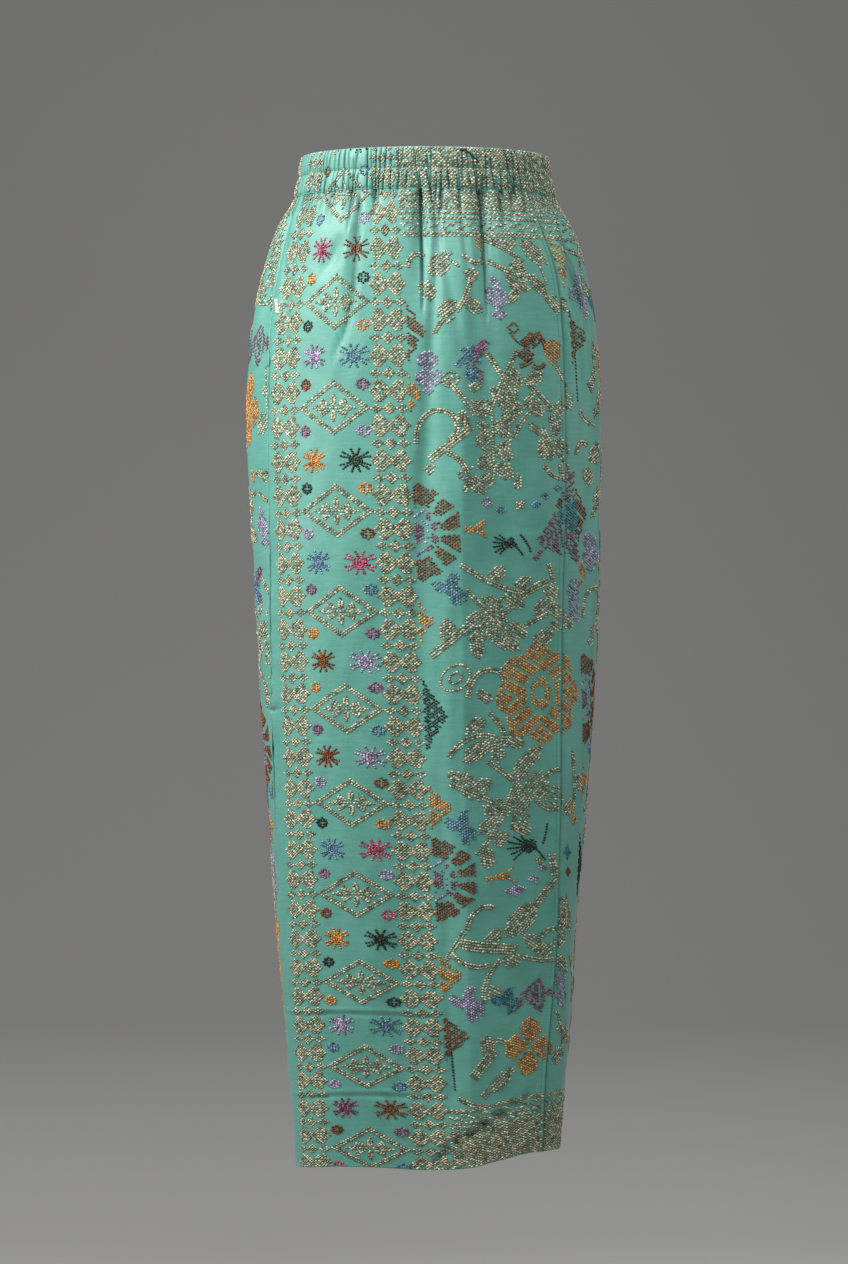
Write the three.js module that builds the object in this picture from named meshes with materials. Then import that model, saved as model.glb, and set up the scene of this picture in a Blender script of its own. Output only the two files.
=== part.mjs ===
// Songket skirt: a tube of songket cloth gathered into an elasticated fold-over waistband.
// Millimetres, +Z up. The origin is the middle of the waist, halfway up the waistband.
// The front faces -Y, so +X is on the left of the person who wears it.
// "Round" is the distance along the cloth from the centre front, positive towards +X.

import * as THREE from 'three';

// Driving sizes
const BAND_TOP = 20;
const BAND_BOTTOM = -20;
const BAND_WALL = 2.4;
const BAND_COLUMNS = 150;
const CLOTH_WALL = 1.2;
const SEAM_GAP = 0.3;
const LAP_STEP = CLOTH_WALL + SEAM_GAP;
const LAP_SETTLE = 16;
const HEM_LEVEL = -948;
const GATHER_HEIGHT = 1.1;
const GATHER_REACH = 30;

// Reach of the cloth from the axis to each side, and how square each section is (2 is an ellipse).
const SECTIONS = [
  { z: 20, left: 117, right: 119, front: 90, back: 90, square: 2 },
  { z: -20, left: 125, right: 127, front: 95, back: 97, square: 2 },
  { z: -48, left: 141.5, right: 142.5, front: 101, back: 108, square: 2 },
  { z: -80, left: 152.5, right: 155.5, front: 106, back: 118, square: 2 },
  { z: -118, left: 162, right: 163, front: 110, back: 127, square: 2 },
  { z: -173, left: 169.5, right: 169, front: 113, back: 134, square: 2.05 },
  { z: -234, left: 171.5, right: 171.5, front: 114, back: 136, square: 2.1 },
  { z: -336, left: 166.5, right: 170.5, front: 112, back: 130, square: 2.2 },
  { z: -448, left: 162, right: 167.5, front: 107, back: 121, square: 2.4 },
  { z: -568, left: 155, right: 161, front: 101, back: 111, square: 2.7 },
  { z: -710, left: 146.5, right: 150, front: 93, back: 101, square: 3.1 },
  { z: -816, left: 137, right: 144.5, front: 87, back: 95, square: 3.5 },
  { z: -894, left: 129, right: 138, front: 83, back: 90, square: 3.9 },
  { z: -958, left: 124, right: 132.5, front: 80, back: 86, square: 4.2 },
];

// Lines that run down the front: the side seam, the pressed centre crease and the edge of the side tuck.
const LINES = [
  { z: -20, seam: -150, crease: 36, tuck: 106 },
  { z: -60, seam: -157, crease: 36.5, tuck: 121 },
  { z: -100, seam: -161, crease: 37, tuck: 134.5 },
  { z: -175, seam: -164, crease: 36.5, tuck: 141.5 },
  { z: -300, seam: -166, crease: 35.5, tuck: 143.5 },
  { z: -440, seam: -167, crease: 35.5, tuck: 137.5 },
  { z: -600, seam: -165, crease: 38, tuck: 135 },
  { z: -740, seam: -165, crease: 41.5, tuck: 131.5 },
  { z: -860, seam: -168, crease: 43.5, tuck: 119.5 },
  { z: -958, seam: -171, crease: 44.5, tuck: 115 },
];

// The hem hangs unevenly, lifted at the tuck: its level by the angle round it, from the front towards +X.
const HEM = [
  { side: 180, hem: -945 },
  { side: 110, hem: -939 },
  { side: 75, hem: -935.5 },
  { side: 54, hem: -935.5 },
  { side: 42, hem: -942 },
  { side: 28, hem: -948.5 },
  { side: 0, hem: -951 },
  { side: -45, hem: -948 },
  { side: -66, hem: -951 },
  { side: -100, hem: -951 },
  { side: -180, hem: -945 },
];

// Levels of the panels' points, close together where the cloth is gathered.
const LEVELS = [
  BAND_BOTTOM - SEAM_GAP, -29, -40, -54, -72, -94, -120, -152, -190, -235, -290,
  -350, -415, -480, -550, -620, -690, -760, -825, -880, -920, HEM_LEVEL,
];

// Folds that fall from the waistband, troughs below zero and ridges above it.
// Each starts at the round and drifts sideways on its way down; the front ones come first.
const FOLDS = [
  { round: -154, drift: -16, top: -34, bottom: -150, height: -4, width: 7 },
  { round: -73, drift: 0, top: -18, bottom: -56, height: -2.5, width: 5 },
  { round: -80, drift: -24, top: -66, bottom: -112, height: -2, width: 8 },
  { round: -63, drift: -14, top: -24, bottom: -190, height: -3, width: 5 },
  { round: -48, drift: 0, top: -18, bottom: -50, height: -2.5, width: 5 },
  { round: -3, drift: 2, top: -14, bottom: -170, height: -6, width: 9 },
  { round: 56, drift: 3, top: -10, bottom: -165, height: -6.5, width: 8 },
  { round: 76, drift: 0, top: -16, bottom: -56, height: -3, width: 5 },
  { round: 88, drift: -2, top: -12, bottom: -48, height: -3, width: 5 },
  { round: 134, drift: 26, top: -18, bottom: -270, height: 4, width: 7 },
  { round: 147, drift: 30, top: -24, bottom: -330, height: -4.5, width: 7 },
  { round: 152, drift: 42, top: -18, bottom: -330, height: 5, width: 8 },
  { round: 196, drift: -24, top: -290, bottom: -640, height: 3, width: 9 },
  { round: 196, drift: 20, top: -14, bottom: -150, height: -4.5, width: 8 },
  { round: 228, drift: 14, top: -16, bottom: -210, height: -5, width: 9 },
  { round: 262, drift: 30, top: -14, bottom: -120, height: -3.5, width: 6 },
  { round: 290, drift: 34, top: -12, bottom: -230, height: -5.5, width: 10 },
  { round: 322, drift: 60, top: -18, bottom: -140, height: -4, width: 7 },
  { round: 352, drift: 84, top: -12, bottom: -260, height: -6, width: 10 },
  { round: 392, drift: 104, top: -16, bottom: -130, height: -4, width: 7 },
  { round: 421, drift: 130, top: -12, bottom: -200, height: -5, width: 9 },
  { round: 455, drift: 158, top: -18, bottom: -115, height: -3.5, width: 7 },
  { round: 486, drift: 190, top: -14, bottom: -180, height: -4.5, width: 8 },
];

// The centre crease is pressed outwards into a ridge between two flatter faces.
// The right face runs to the edge of the tuck, and the left one is this wide.
const CREASE_LEFT_FACE = 84;
const CREASE_HEIGHT = [
  { z: -20, height: 0.5 },
  { z: -60, height: 4 },
  { z: -110, height: 8 },
  { z: -600, height: 9 },
  { z: -958, height: 5.5 },
];

// Two broad hollows that the cloth hangs in below the seat.
const SEAT_HOLLOWS = [
  { round: 395, drift: -40, top: -300, bottom: -930, height: -7, width: 34 },
  { round: 520, drift: -70, top: -330, bottom: -900, height: -6, width: 30 },
];

// The waistband's profile: how far it stands out at each level, and how deep its gathers are there.
const BAND_PROFILE = [
  { z: BAND_TOP, out: 0.6, gather: 0.5 },
  { z: 11, out: 2.2, gather: 1 },
  { z: 0, out: 0.2, gather: 0.6 },
  { z: -10, out: 2.4, gather: 1 },
  { z: BAND_BOTTOM, out: 0.6, gather: 0.7 },
];

const RING_SAMPLES = 240;
const FRONT_LEFT_COLUMNS = 26;
const FRONT_RIGHT_COLUMNS = 14;
const LAP_COLUMNS = 3;
const SETTLE_COLUMNS = 3;
const BACK_COLUMNS = 30;

// Reads one column of a table at a level, or at another key, along a smooth curve through its rows.
function readTable(table, column, value, key = 'z') {
  const last = table.length - 1;
  const place = THREE.MathUtils.clamp(value, table[last][key], table[0][key]);
  let row = 0;
  while (row < last - 1 && table[row + 1][key] > place) row += 1;
  const span = table[row][key] - table[row + 1][key];
  const t = (table[row][key] - place) / span;
  const slope = (i) => {
    const above = table[Math.max(i - 1, 0)];
    const below = table[Math.min(i + 1, last)];
    return (below[column] - above[column]) / (above[key] - below[key]);
  };
  const start = table[row][column];
  const end = table[row + 1][column];
  return (
    (2 * t ** 3 - 3 * t ** 2 + 1) * start +
    (t ** 3 - 2 * t ** 2 + t) * span * slope(row) +
    (3 * t ** 2 - 2 * t ** 3) * end +
    (t ** 3 - t ** 2) * span * slope(row + 1)
  );
}

// One level section of the tube: its outline and the round of each outline point.
function drawRing(z) {
  const reach = {};
  for (const side of ['left', 'right', 'front', 'back', 'square']) reach[side] = readTable(SECTIONS, side, z);
  const xs = [];
  const ys = [];
  const rounds = [0];
  for (let i = 0; i <= RING_SAMPLES; i += 1) {
    const turn = (2 * Math.PI * i) / RING_SAMPLES;
    const across = Math.sin(turn);
    const ahead = Math.cos(turn);
    const wide = across < 0 ? reach.left : reach.right;
    const deep = ahead > 0 ? reach.front : reach.back;
    const sum = Math.abs(across / wide) ** reach.square + Math.abs(ahead / deep) ** reach.square;
    const radius = sum ** (-1 / reach.square);
    xs.push(radius * across);
    ys.push(-radius * ahead);
    if (i > 0) rounds.push(rounds[i - 1] + Math.hypot(xs[i] - xs[i - 1], ys[i] - ys[i - 1]));
  }
  return { xs, ys, rounds, girth: rounds[RING_SAMPLES] };
}

const drawnRings = new Map();

function makeRing(z) {
  if (!drawnRings.has(z)) drawnRings.set(z, drawRing(z));
  return drawnRings.get(z);
}

// The point of a section at a round, with the outward direction there.
function ringPoint(ring, round) {
  const wrapped = THREE.MathUtils.euclideanModulo(round, ring.girth);
  let i = 0;
  while (i < RING_SAMPLES - 1 && ring.rounds[i + 1] < wrapped) i += 1;
  const t = (wrapped - ring.rounds[i]) / (ring.rounds[i + 1] - ring.rounds[i]);
  const tangent = (j) => {
    const before = (j - 1 + RING_SAMPLES) % RING_SAMPLES;
    const after = (j + 1) % RING_SAMPLES;
    return new THREE.Vector2(ring.xs[after] - ring.xs[before], ring.ys[after] - ring.ys[before]);
  };
  const along = tangent(i).lerp(tangent((i + 1) % RING_SAMPLES), t).normalize();
  return {
    x: THREE.MathUtils.lerp(ring.xs[i], ring.xs[i + 1], t),
    y: THREE.MathUtils.lerp(ring.ys[i], ring.ys[i + 1], t),
    outX: along.y,
    outY: -along.x,
  };
}

// Height of one fold at a place on the cloth: full below its top and fading towards its bottom.
function foldHeight(fold, round, z, girth) {
  const down = (fold.top - z) / (fold.top - fold.bottom);
  if (down <= 0 || down >= 1) return 0;
  const centre = fold.round + fold.drift * down;
  const aside = THREE.MathUtils.euclideanModulo(round - centre + girth / 2, girth) - girth / 2;
  const spread = fold.width * (0.6 + down);
  const hold = THREE.MathUtils.smoothstep(down, 0, 0.1) * (1 - THREE.MathUtils.smoothstep(down, 0.25, 1));
  return fold.height * hold * Math.exp(-((aside / spread) ** 2));
}

// Relief of the cloth off its plain section.
function relief(round, z, girth) {
  let height = 0;
  for (const fold of [...FOLDS, ...SEAT_HOLLOWS]) height += foldHeight(fold, round, z, girth);
  const crease = readTable(LINES, 'crease', z);
  const face = round > crease ? readTable(LINES, 'tuck', z) - crease : CREASE_LEFT_FACE;
  const fromCrease = Math.min(Math.abs(round - crease) / face, 1);
  height += readTable(CREASE_HEIGHT, 'height', z) * (1 - fromCrease) ** 2;
  return height;
}

// Level of a point once the uneven hem is shared out along the cloth's length.
function hangLevel(level, x, y) {
  const hem = readTable(HEM, 'hem', THREE.MathUtils.radToDeg(Math.atan2(x, -y)), 'side');
  const share = (level - BAND_BOTTOM) / (HEM_LEVEL - BAND_BOTTOM);
  return level + share * (hem - HEM_LEVEL);
}

// A point of the skirt cloth, sunk below its outer face by the inset.
function clothPoint(round, level, inset, ripple) {
  const flat = makeRing(level);
  const place = ringPoint(flat, round);
  const z = hangLevel(level, place.x, place.y);
  const nearWaist = 1 - THREE.MathUtils.smoothstep(-level, -BAND_BOTTOM, -BAND_BOTTOM + GATHER_REACH);
  const out = relief(round, level, flat.girth) + ripple * GATHER_HEIGHT * nearWaist - inset;
  return new THREE.Vector3(place.x + place.outX * out, place.y + place.outY * out, z);
}

// Closes a sheet of points into a wall. Each grid is a list of rows, and a row is a list of points.
// A ring's rows join up on themselves; an open sheet's are closed along their two ends.
function wallGeometry(outer, inner, isRing) {
  const rows = outer.length;
  const columns = outer[0].length;
  const positions = [];
  for (const grid of [outer, inner]) {
    for (const row of grid) for (const point of row) positions.push(point.x, point.y, point.z);
  }
  const indices = [];
  const at = (side, row, column) => side * rows * columns + row * columns + (column % columns);
  const quad = (a, b, c, d) => indices.push(a, b, c, a, c, d);
  const spans = isRing ? columns : columns - 1;
  for (let column = 0; column < spans; column += 1) {
    const next = column + 1;
    for (let row = 0; row < rows - 1; row += 1) {
      quad(at(0, row, column), at(0, row + 1, column), at(0, row + 1, next), at(0, row, next));
      quad(at(1, row, column), at(1, row, next), at(1, row + 1, next), at(1, row + 1, column));
    }
    quad(at(1, 0, column), at(0, 0, column), at(0, 0, next), at(1, 0, next));
    quad(at(0, rows - 1, column), at(1, rows - 1, column), at(1, rows - 1, next), at(0, rows - 1, next));
  }
  if (!isRing) {
    const end = columns - 1;
    for (let row = 0; row < rows - 1; row += 1) {
      quad(at(1, row, 0), at(1, row + 1, 0), at(0, row + 1, 0), at(0, row, 0));
      quad(at(0, row, end), at(0, row + 1, end), at(1, row + 1, end), at(1, row, end));
    }
  }
  const geometry = new THREE.BufferGeometry();
  geometry.setAttribute('position', new THREE.Float32BufferAttribute(positions, 3));
  geometry.setIndex(indices);
  geometry.computeVertexNormals();
  return geometry;
}

// Rounds of the front panel's columns at a level, closer on both sides of the crease.
function frontRounds(level) {
  const seam = readTable(LINES, 'seam', level) + SEAM_GAP / 2;
  const crease = readTable(LINES, 'crease', level);
  const tuck = readTable(LINES, 'tuck', level);
  const rounds = [];
  for (let i = 0; i < FRONT_LEFT_COLUMNS; i += 1) {
    rounds.push(THREE.MathUtils.lerp(seam, crease, i / FRONT_LEFT_COLUMNS));
  }
  for (let i = 0; i <= FRONT_RIGHT_COLUMNS; i += 1) {
    rounds.push(THREE.MathUtils.lerp(crease, tuck, i / FRONT_RIGHT_COLUMNS));
  }
  return rounds;
}

// Columns of the back panel: under the tuck, out from its edge, and on round to the side seam.
function backColumns(level) {
  const front = frontRounds(level);
  const tuck = front[front.length - 1];
  const seam = readTable(LINES, 'seam', level) - SEAM_GAP / 2 + makeRing(level).girth;
  const columns = [];
  for (let i = LAP_COLUMNS; i > 0; i -= 1) {
    columns.push({ round: front[front.length - 1 - i], inset: LAP_STEP });
  }
  for (let i = 0; i < SETTLE_COLUMNS; i += 1) {
    const share = i / SETTLE_COLUMNS;
    const rise = THREE.MathUtils.smoothstep(share, 0, 1);
    columns.push({ round: tuck + LAP_SETTLE * share, inset: LAP_STEP * (1 - rise) });
  }
  for (let i = 0; i <= BACK_COLUMNS; i += 1) {
    const round = THREE.MathUtils.lerp(tuck + LAP_SETTLE, seam, i / BACK_COLUMNS);
    columns.push({ round, inset: 0 });
  }
  return columns;
}

// A column's ripple takes every other column out and in, as small gathers do.
const rippleOf = (column) => (column % 2 === 0 ? 1 : -1);

function frontPanel() {
  const sheet = (inset) =>
    LEVELS.map((level) =>
      frontRounds(level).map((round, column) => {
        const underTuck = column > FRONT_LEFT_COLUMNS + FRONT_RIGHT_COLUMNS - LAP_COLUMNS - 1;
        return clothPoint(round, level, inset, underTuck ? 0 : rippleOf(column));
      }),
    );
  return wallGeometry(sheet(0), sheet(CLOTH_WALL), false);
}

function backPanel() {
  const flatColumns = LAP_COLUMNS + SETTLE_COLUMNS;
  const sheet = (inset) =>
    LEVELS.map((level) =>
      backColumns(level).map((place, column) => {
        const ripple = column < flatColumns ? 0 : rippleOf(column);
        return clothPoint(place.round, level, place.inset + inset, ripple);
      }),
    );
  return wallGeometry(sheet(0), sheet(CLOTH_WALL), false);
}

function waistband() {
  const sheet = (inset) =>
    BAND_PROFILE.map((step) => {
      const ring = makeRing(step.z);
      const row = [];
      for (let column = 0; column < BAND_COLUMNS; column += 1) {
        const place = ringPoint(ring, (ring.girth * column) / BAND_COLUMNS);
        const out = step.out + step.gather * rippleOf(column) - inset;
        row.push(new THREE.Vector3(place.x + place.outX * out, place.y + place.outY * out, step.z));
      }
      return row;
    });
  return wallGeometry(sheet(0), sheet(BAND_WALL), true);
}

function clothMaterial(colour, roughness) {
  return new THREE.MeshStandardMaterial({ color: colour, roughness, metalness: 0 });
}

const PIECES = [
  { name: 'front_panel', make: frontPanel, colour: 0x6ec7b4, roughness: 0.62 },
  { name: 'back_panel', make: backPanel, colour: 0x63bba7, roughness: 0.62 },
  { name: 'waistband', make: waistband, colour: 0x82d2c0, roughness: 0.68 },
];

const skirt = new THREE.Group();
skirt.name = 'songket_skirt';
for (const piece of PIECES) {
  const mesh = new THREE.Mesh(piece.make(), clothMaterial(piece.colour, piece.roughness));
  mesh.name = piece.name;
  skirt.add(mesh);
}

export default skirt;
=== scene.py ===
"""Songket skirt: the finished cloth, its woven floats and its stitching, in a plain studio.

Meshes are in metres and the tables in millimetres, +Z up, with the origin in the middle of the waist.
"Round" is the distance along the cloth from the centre front, positive towards +X.
"Level" is the height of a row of weaving before the hem's unevenness is shared out.
"""

import math
from functools import cache

import bpy
import numpy as np
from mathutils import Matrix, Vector


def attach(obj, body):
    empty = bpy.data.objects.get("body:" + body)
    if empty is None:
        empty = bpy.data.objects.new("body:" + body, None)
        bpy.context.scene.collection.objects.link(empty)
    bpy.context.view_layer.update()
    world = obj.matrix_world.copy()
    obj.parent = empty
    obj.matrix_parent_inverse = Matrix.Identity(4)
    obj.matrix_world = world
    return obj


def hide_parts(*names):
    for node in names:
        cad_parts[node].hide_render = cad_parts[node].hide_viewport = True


bl_info = {
    "name": "Songket Skirt",
    "version": (1, 0, 0),
    "blender": (4, 5, 0),
    "location": "View3D > Sidebar > Skirt",
    "description": "Builds a gathered songket tube skirt from its cut and its weaving chart",
    "category": "Add Mesh",
}

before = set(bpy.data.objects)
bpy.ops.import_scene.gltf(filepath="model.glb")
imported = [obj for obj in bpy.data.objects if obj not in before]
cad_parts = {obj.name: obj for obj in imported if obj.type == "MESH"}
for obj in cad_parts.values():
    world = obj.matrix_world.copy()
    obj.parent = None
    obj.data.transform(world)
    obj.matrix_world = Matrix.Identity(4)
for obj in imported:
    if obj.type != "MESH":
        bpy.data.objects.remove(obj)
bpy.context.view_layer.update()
MM = 0.001


def chart(names, *rows):
    """A table as columns of numbers, by name."""
    return {name: np.array([row[i] for row in rows], float) for i, name in enumerate(names.split())}


# ---- the skirt's cut ----

BAND_TOP = 20
BAND_BOTTOM = -20
SEAM_GAP = 0.3
HEM_LEVEL = -948
LAP_WIDTH = 23
LAP_SETTLE = 16
LAP_STEP = 1.5
LAP_HIDDEN = 5
RING_POINTS = 720
# Round of the casing's first column, where the gathers start too, and how many columns it has.
CASING_START = -150.0
BAND_COLUMNS = 1080
# How far the tuck's stitching lies from its edge.
TUCK_STITCH = 4.4

# Reach of the cloth from the axis to each side, and how square each section is.
SECTIONS = chart(
    "level left right front back square",
    (20, 117, 119, 90, 90, 2),
    (-20, 125, 127, 95, 97, 2),
    (-48, 141.5, 142.5, 101, 108, 2),
    (-80, 152.5, 155.5, 106, 118, 2),
    (-118, 162, 163, 110, 127, 2),
    (-173, 169.5, 169, 113, 134, 2.05),
    (-234, 171.5, 171.5, 114, 136, 2.1),
    (-336, 166.5, 170.5, 112, 130, 2.2),
    (-448, 162, 167.5, 107, 121, 2.4),
    (-568, 155, 161, 101, 111, 2.7),
    (-710, 146.5, 150, 93, 101, 3.1),
    (-816, 137, 144.5, 87, 95, 3.5),
    (-894, 129, 138, 83, 90, 3.9),
    (-958, 124, 132.5, 80, 86, 4.2),
)

# Lines down the front: the side seam, the pressed crease and the edge of the side tuck.
LINES = chart(
    "level seam crease tuck",
    (-20, -150, 36, 106),
    (-60, -157, 36.5, 121),
    (-100, -161, 37, 134.5),
    (-175, -164, 36.5, 141.5),
    (-300, -166, 35.5, 143.5),
    (-440, -167, 35.5, 137.5),
    (-600, -165, 38, 135),
    (-740, -165, 41.5, 131.5),
    (-860, -168, 43.5, 119.5),
    (-958, -171, 44.5, 115),
)

# Level of the hem by the angle round it, which stands in the first column: 0 in front, more towards +X.
HEM = chart(
    "level hem",
    (180, -945),
    (110, -939),
    (75, -935.5),
    (54, -935.5),
    (42, -942),
    (28, -948.5),
    (0, -951),
    (-45, -948),
    (-66, -951),
    (-100, -951),
    (-180, -945),
)

# The pressed crease: how far it stands out and how rounded it is, and the reach of its slope to the left.
CREASE_RIDGE = chart(
    "level height rounding",
    (-20, 0.5, 0.1),
    (-60, 4, 0.08),
    (-110, 8, 0.06),
    (-260, 8.5, 0.012),
    (-600, 9, 0.012),
    (-958, 5.5, 0.03),
)
CREASE_LEFT_FACE = 84
# Slits are creases at least this deep and at most this wide, and darkest at the last depth.
SLIT_LEAST = 1.4
SLIT_WIDEST = 2.3
SLIT_DEEP = 2.4

# Folds from the waistband: troughs below zero, ridges above. Each drifts sideways on its way down.
FOLDS = chart(
    "round drift top bottom height width",
    (-154, -16, -34, -150, -4, 7),
    (-73, 0, -18, -56, -2.5, 5),
    (-80, -24, -66, -112, -2, 8),
    (-63, -14, -24, -190, -3, 5),
    (-48, 0, -18, -50, -2.5, 5),
    (-3, 2, -14, -170, -6, 9),
    (56, 3, -10, -165, -6.5, 8),
    (76, 0, -16, -56, -3, 5),
    (88, -2, -12, -48, -3, 5),
    (134, 26, -18, -270, 4, 7),
    (147, 30, -24, -330, -4.5, 7),
    (152, 42, -18, -330, 5, 8),
    (196, -24, -290, -640, 3, 9),
    (196, 20, -14, -150, -4.5, 8),
    (228, 14, -16, -210, -5, 9),
    (262, 30, -14, -120, -3.5, 6),
    (290, 34, -12, -230, -5.5, 10),
    (322, 60, -18, -140, -4, 7),
    (352, 84, -12, -260, -6, 10),
    (392, 104, -16, -130, -4, 7),
    (421, 130, -12, -200, -5, 9),
    (455, 158, -18, -115, -3.5, 7),
    (486, 190, -14, -180, -4.5, 8),
    (395, -40, -300, -930, -7, 34),
    (520, -70, -330, -900, -6, 30),
)

# Pressed and crumpled lines in the cloth, along a path of rounds and levels: height, width, path.
CREASES = (
    (-3.4, 1.3, ((55, -19), (56, -60), (57.5, -96), (58.5, -146))),
    (-3.0, 1.5, ((-4, -19), (-3, -60), (-1.5, -96), (-1, -140))),
    (-2.2, 1.3, ((76, -19), (77, -62))),
    (-2.0, 1.3, ((89, -19), (87, -50))),
    (-1.8, 1.3, ((18, -19), (17, -46))),
    (-1.7, 1.3, ((34, -19), (35, -42))),
    (-1.6, 1.3, ((101, -19), (104, -44))),
    (-1.8, 1.4, ((-47, -19), (-49, -52))),
    (-1.8, 1.4, ((-72, -19), (-74, -56))),
    (-1.6, 1.4, ((-96, -19), (-99, -48))),
    (-1.6, 1.4, ((-121, -19), (-126, -52))),
    (-1.7, 1.7, ((-63, -22), (-65, -49), (-67, -85), (-69, -123), (-77, -160), (-89, -184))),
    (-1.3, 2.0, ((-151, -24), (-160, -66), (-169, -94), (-170, -140))),
    (1.2, 2.4, ((62, -24), (63, -60), (65, -110))),
    (1.3, 2.6, ((5, -24), (6, -60), (8, -110))),
    (-1.5, 2.2, ((146, -26), (150, -60), (158, -96), (166, -130), (176, -170))),
    (1.3, 2.6, ((137, -26), (142, -66), (149, -122), (155, -170))),
    (1.4, 2.8, (
        (155, -28), (151, -60), (158, -91), (169, -122), (179, -146), (188, -176), (193, -230), (193, -300),
    )),
    (0.7, 2.6, ((-166, -800), (-90, -798.5), (-42, -798), (20, -798))),
    (-0.8, 2.6, ((-166, -804), (-90, -802.5), (-42, -802), (20, -802))),
    (0.7, 2.6, ((-168, -879), (-80, -876.5), (-32, -875), (22, -876))),
    (-0.8, 2.6, ((-168, -883), (-80, -880.5), (-32, -879), (22, -880))),
    (-1.9, 2.2, ((9, -940), (34, -920), (62, -907), (88, -896), (108, -884))),
    (1.0, 4.0, ((2, -934), (28, -914), (58, -901), (86, -890))),
    (-0.9, 3.0, ((88, -330), (108, -332), (130, -335))),
    (-1.0, 3.0, ((70, -339), (96, -342), (120, -343))),
    (0.9, 3.0, ((111, -219), (131, -208))),
    (0.8, 2.6, ((75, -640), (93, -636), (113, -632))),
    (-0.9, 3.0, ((40, -520), (54, -528), (69, -538))),
    (-0.9, 3.0, ((100, -730), (120, -742))),
    (-1.2, 5.0, ((-101, -101), (-84, -78))),
    (-1.0, 4.0, ((-62, -96), (-70, -120), (-74, -150), (-88, -178))),
    (-1.0, 5.0, ((12, -560), (19, -650), (24, -790), (28, -900))),
    (0.8, 6.0, ((22, -300), (24, -520), (30, -700))),
    (0.7, 3.0, ((180, -560), (214, -566), (262, -560))),
    (-0.8, 3.2, ((232, -420), (262, -436), (300, -430))),
    (-1.0, 3.4, ((330, -700), (380, -716), (436, -706))),
    (0.8, 3.0, ((410, -838), (470, -842), (540, -836))),
    (-1.2, 3.6, ((560, -610), (590, -640), (606, -676))),
)

# Puckers that the side seam pulls into the front: level at the seam, length, rise and depth.
PUCKERS = chart(
    "level length rise depth",
    (-130, 20, -10, 0.9),
    (-182, 16, 4, 0.7),
    (-246, 18, 2, 0.6),
    (-318, 17, 3, 0.7),
    (-392, 19, 0, 0.7),
    (-430, 16, 3, 0.6),
    (-458, 22, 8, 0.9),
    (-479, 20, 7, 0.9),
    (-497, 19, 6, 0.8),
    (-513, 24, 2, 1.9),
    (-546, 22, 4, 1.0),
    (-571, 24, 2, 1.1),
    (-596, 26, 9, 1.0),
    (-625, 28, 14, 1.2),
    (-659, 27, 11, 1.2),
    (-688, 25, 12, 1.0),
    (-722, 23, 8, 0.9),
    (-757, 22, 7, 0.8),
    (-840, 20, 6, 0.8),
    (-912, 18, 5, 0.7),
)

# All the puckers' depths are times this.
PUCKER_SCALE = 1.7

# The waistband's profile: how far it stands out at each level, and how deep its gathers are there.
BAND_PROFILE = chart(
    "level out gather",
    (20, 0, 0.4),
    (18, 0.8, 0.7),
    (11, 1.4, 1.1),
    (4, 0.9, 1.0),
    (0.6, 0, 0.6),
    (-0.6, 0, 0.6),
    (-4, 0.9, 1.0),
    (-10, 1.4, 1.2),
    (-16, 0.9, 1.1),
    (-19.2, 0.1, 1.0),
    (-20, -0.3, 0.9),
)
STITCH_LEVELS = (0, -18.6)

# ---- the weaving chart ----

# One half step is half the distance from a float to the next one in its row.
LOZENGE_ROWS = 63
# Level of row 0, the drop from one lozenge to the next, and how that drop shrinks towards the hem.
ROW_TOP = -24.7
LOZENGE_DROP = 104.5
LOZENGE_EASE = 1.4
FIRST_ROW = -26
LAST_ROW = 645
STRIP_STEPS = 66
STRIP_MIDDLE = STRIP_STEPS // 2
FIELD_STEPS = 76
HALF_STEP = 2.2
# Gold strands: from one float to the next, from one strand to the next, and the least gap where two meet.
FLOAT_PITCH = 2.7
STRAND_PITCH = 2.7
CLEAR_PITCH = 2.15
STRAND_STAGGER = 1.4
LATTICE_ANGLE = 37
BUD_STRANDS = 6
MEDALLION_GAPS = (-52, -26, 0, 26, 52)
FIELD_REPEATS = 5
TOP_BORDER_END = 25
HEM_BORDER_START = 599

# The front strip leans across the front: the round of its middle, and the width of its half steps.
STRIP = chart(
    "level middle half_step",
    (20, -78, 1.5),
    (-20, -79, 1.6),
    (-110, -85, 2),
    (-250, -87, 2.2),
    (-550, -72, 2.2),
    (-950, -50, 2.3),
)

# Width of a half step in the field, on the front and on the back, where the gathers take more up.
STEPS = chart(
    "level front back",
    (20, 1.72, 1.45),
    (-25, 1.8, 1.55),
    (-75, 1.98, 1.85),
    (-120, 2.12, 2.05),
    (-175, 2.2, 2.2),
    (-958, 2.2, 2.2),
)

# The columns beside the lozenges, in rows and half steps: from one pair of netted lobes to the next, one
# pair's row, a column's width, and the lobes' middle, width, height and mesh.
COLUMN_ROWS = 21
COLUMN_FIRST = -10
COLUMN_STEPS = 16
COLUMN_LOBE = 3.9
COLUMN_WIDE = 4.5
COLUMN_TALL = 7.4
COLUMN_PITCH = 1.5
# Small motifs, each row from the middle up: half steps to the side of the middle that carry a float.
# The lower half and the left half mirror the rest.
COLUMN_LINK = ((0.8, 2.3), (0, 1.5), (0.8,), (0,))
COLUMN_TIP = ((0, 2.1), (1.1,), (0,))
COLUMN_PLACES = ((8, COLUMN_LINK), (2.3, COLUMN_TIP), (13.7, COLUMN_TIP))
FLOWER = (
    (0, 1.4, 2.8, 4.2, 5.6, 7, 8.4, 9.8),
    (5, 6.4, 7.8),
    (0, 2.2, 3.4),
    (0.7, 3.2, 4.6, 5.8),
    (0.7, 4.2, 5.6),
    (0.7, 5.1),
    (0.7,),
    (0,),
    (0,),
)
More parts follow.
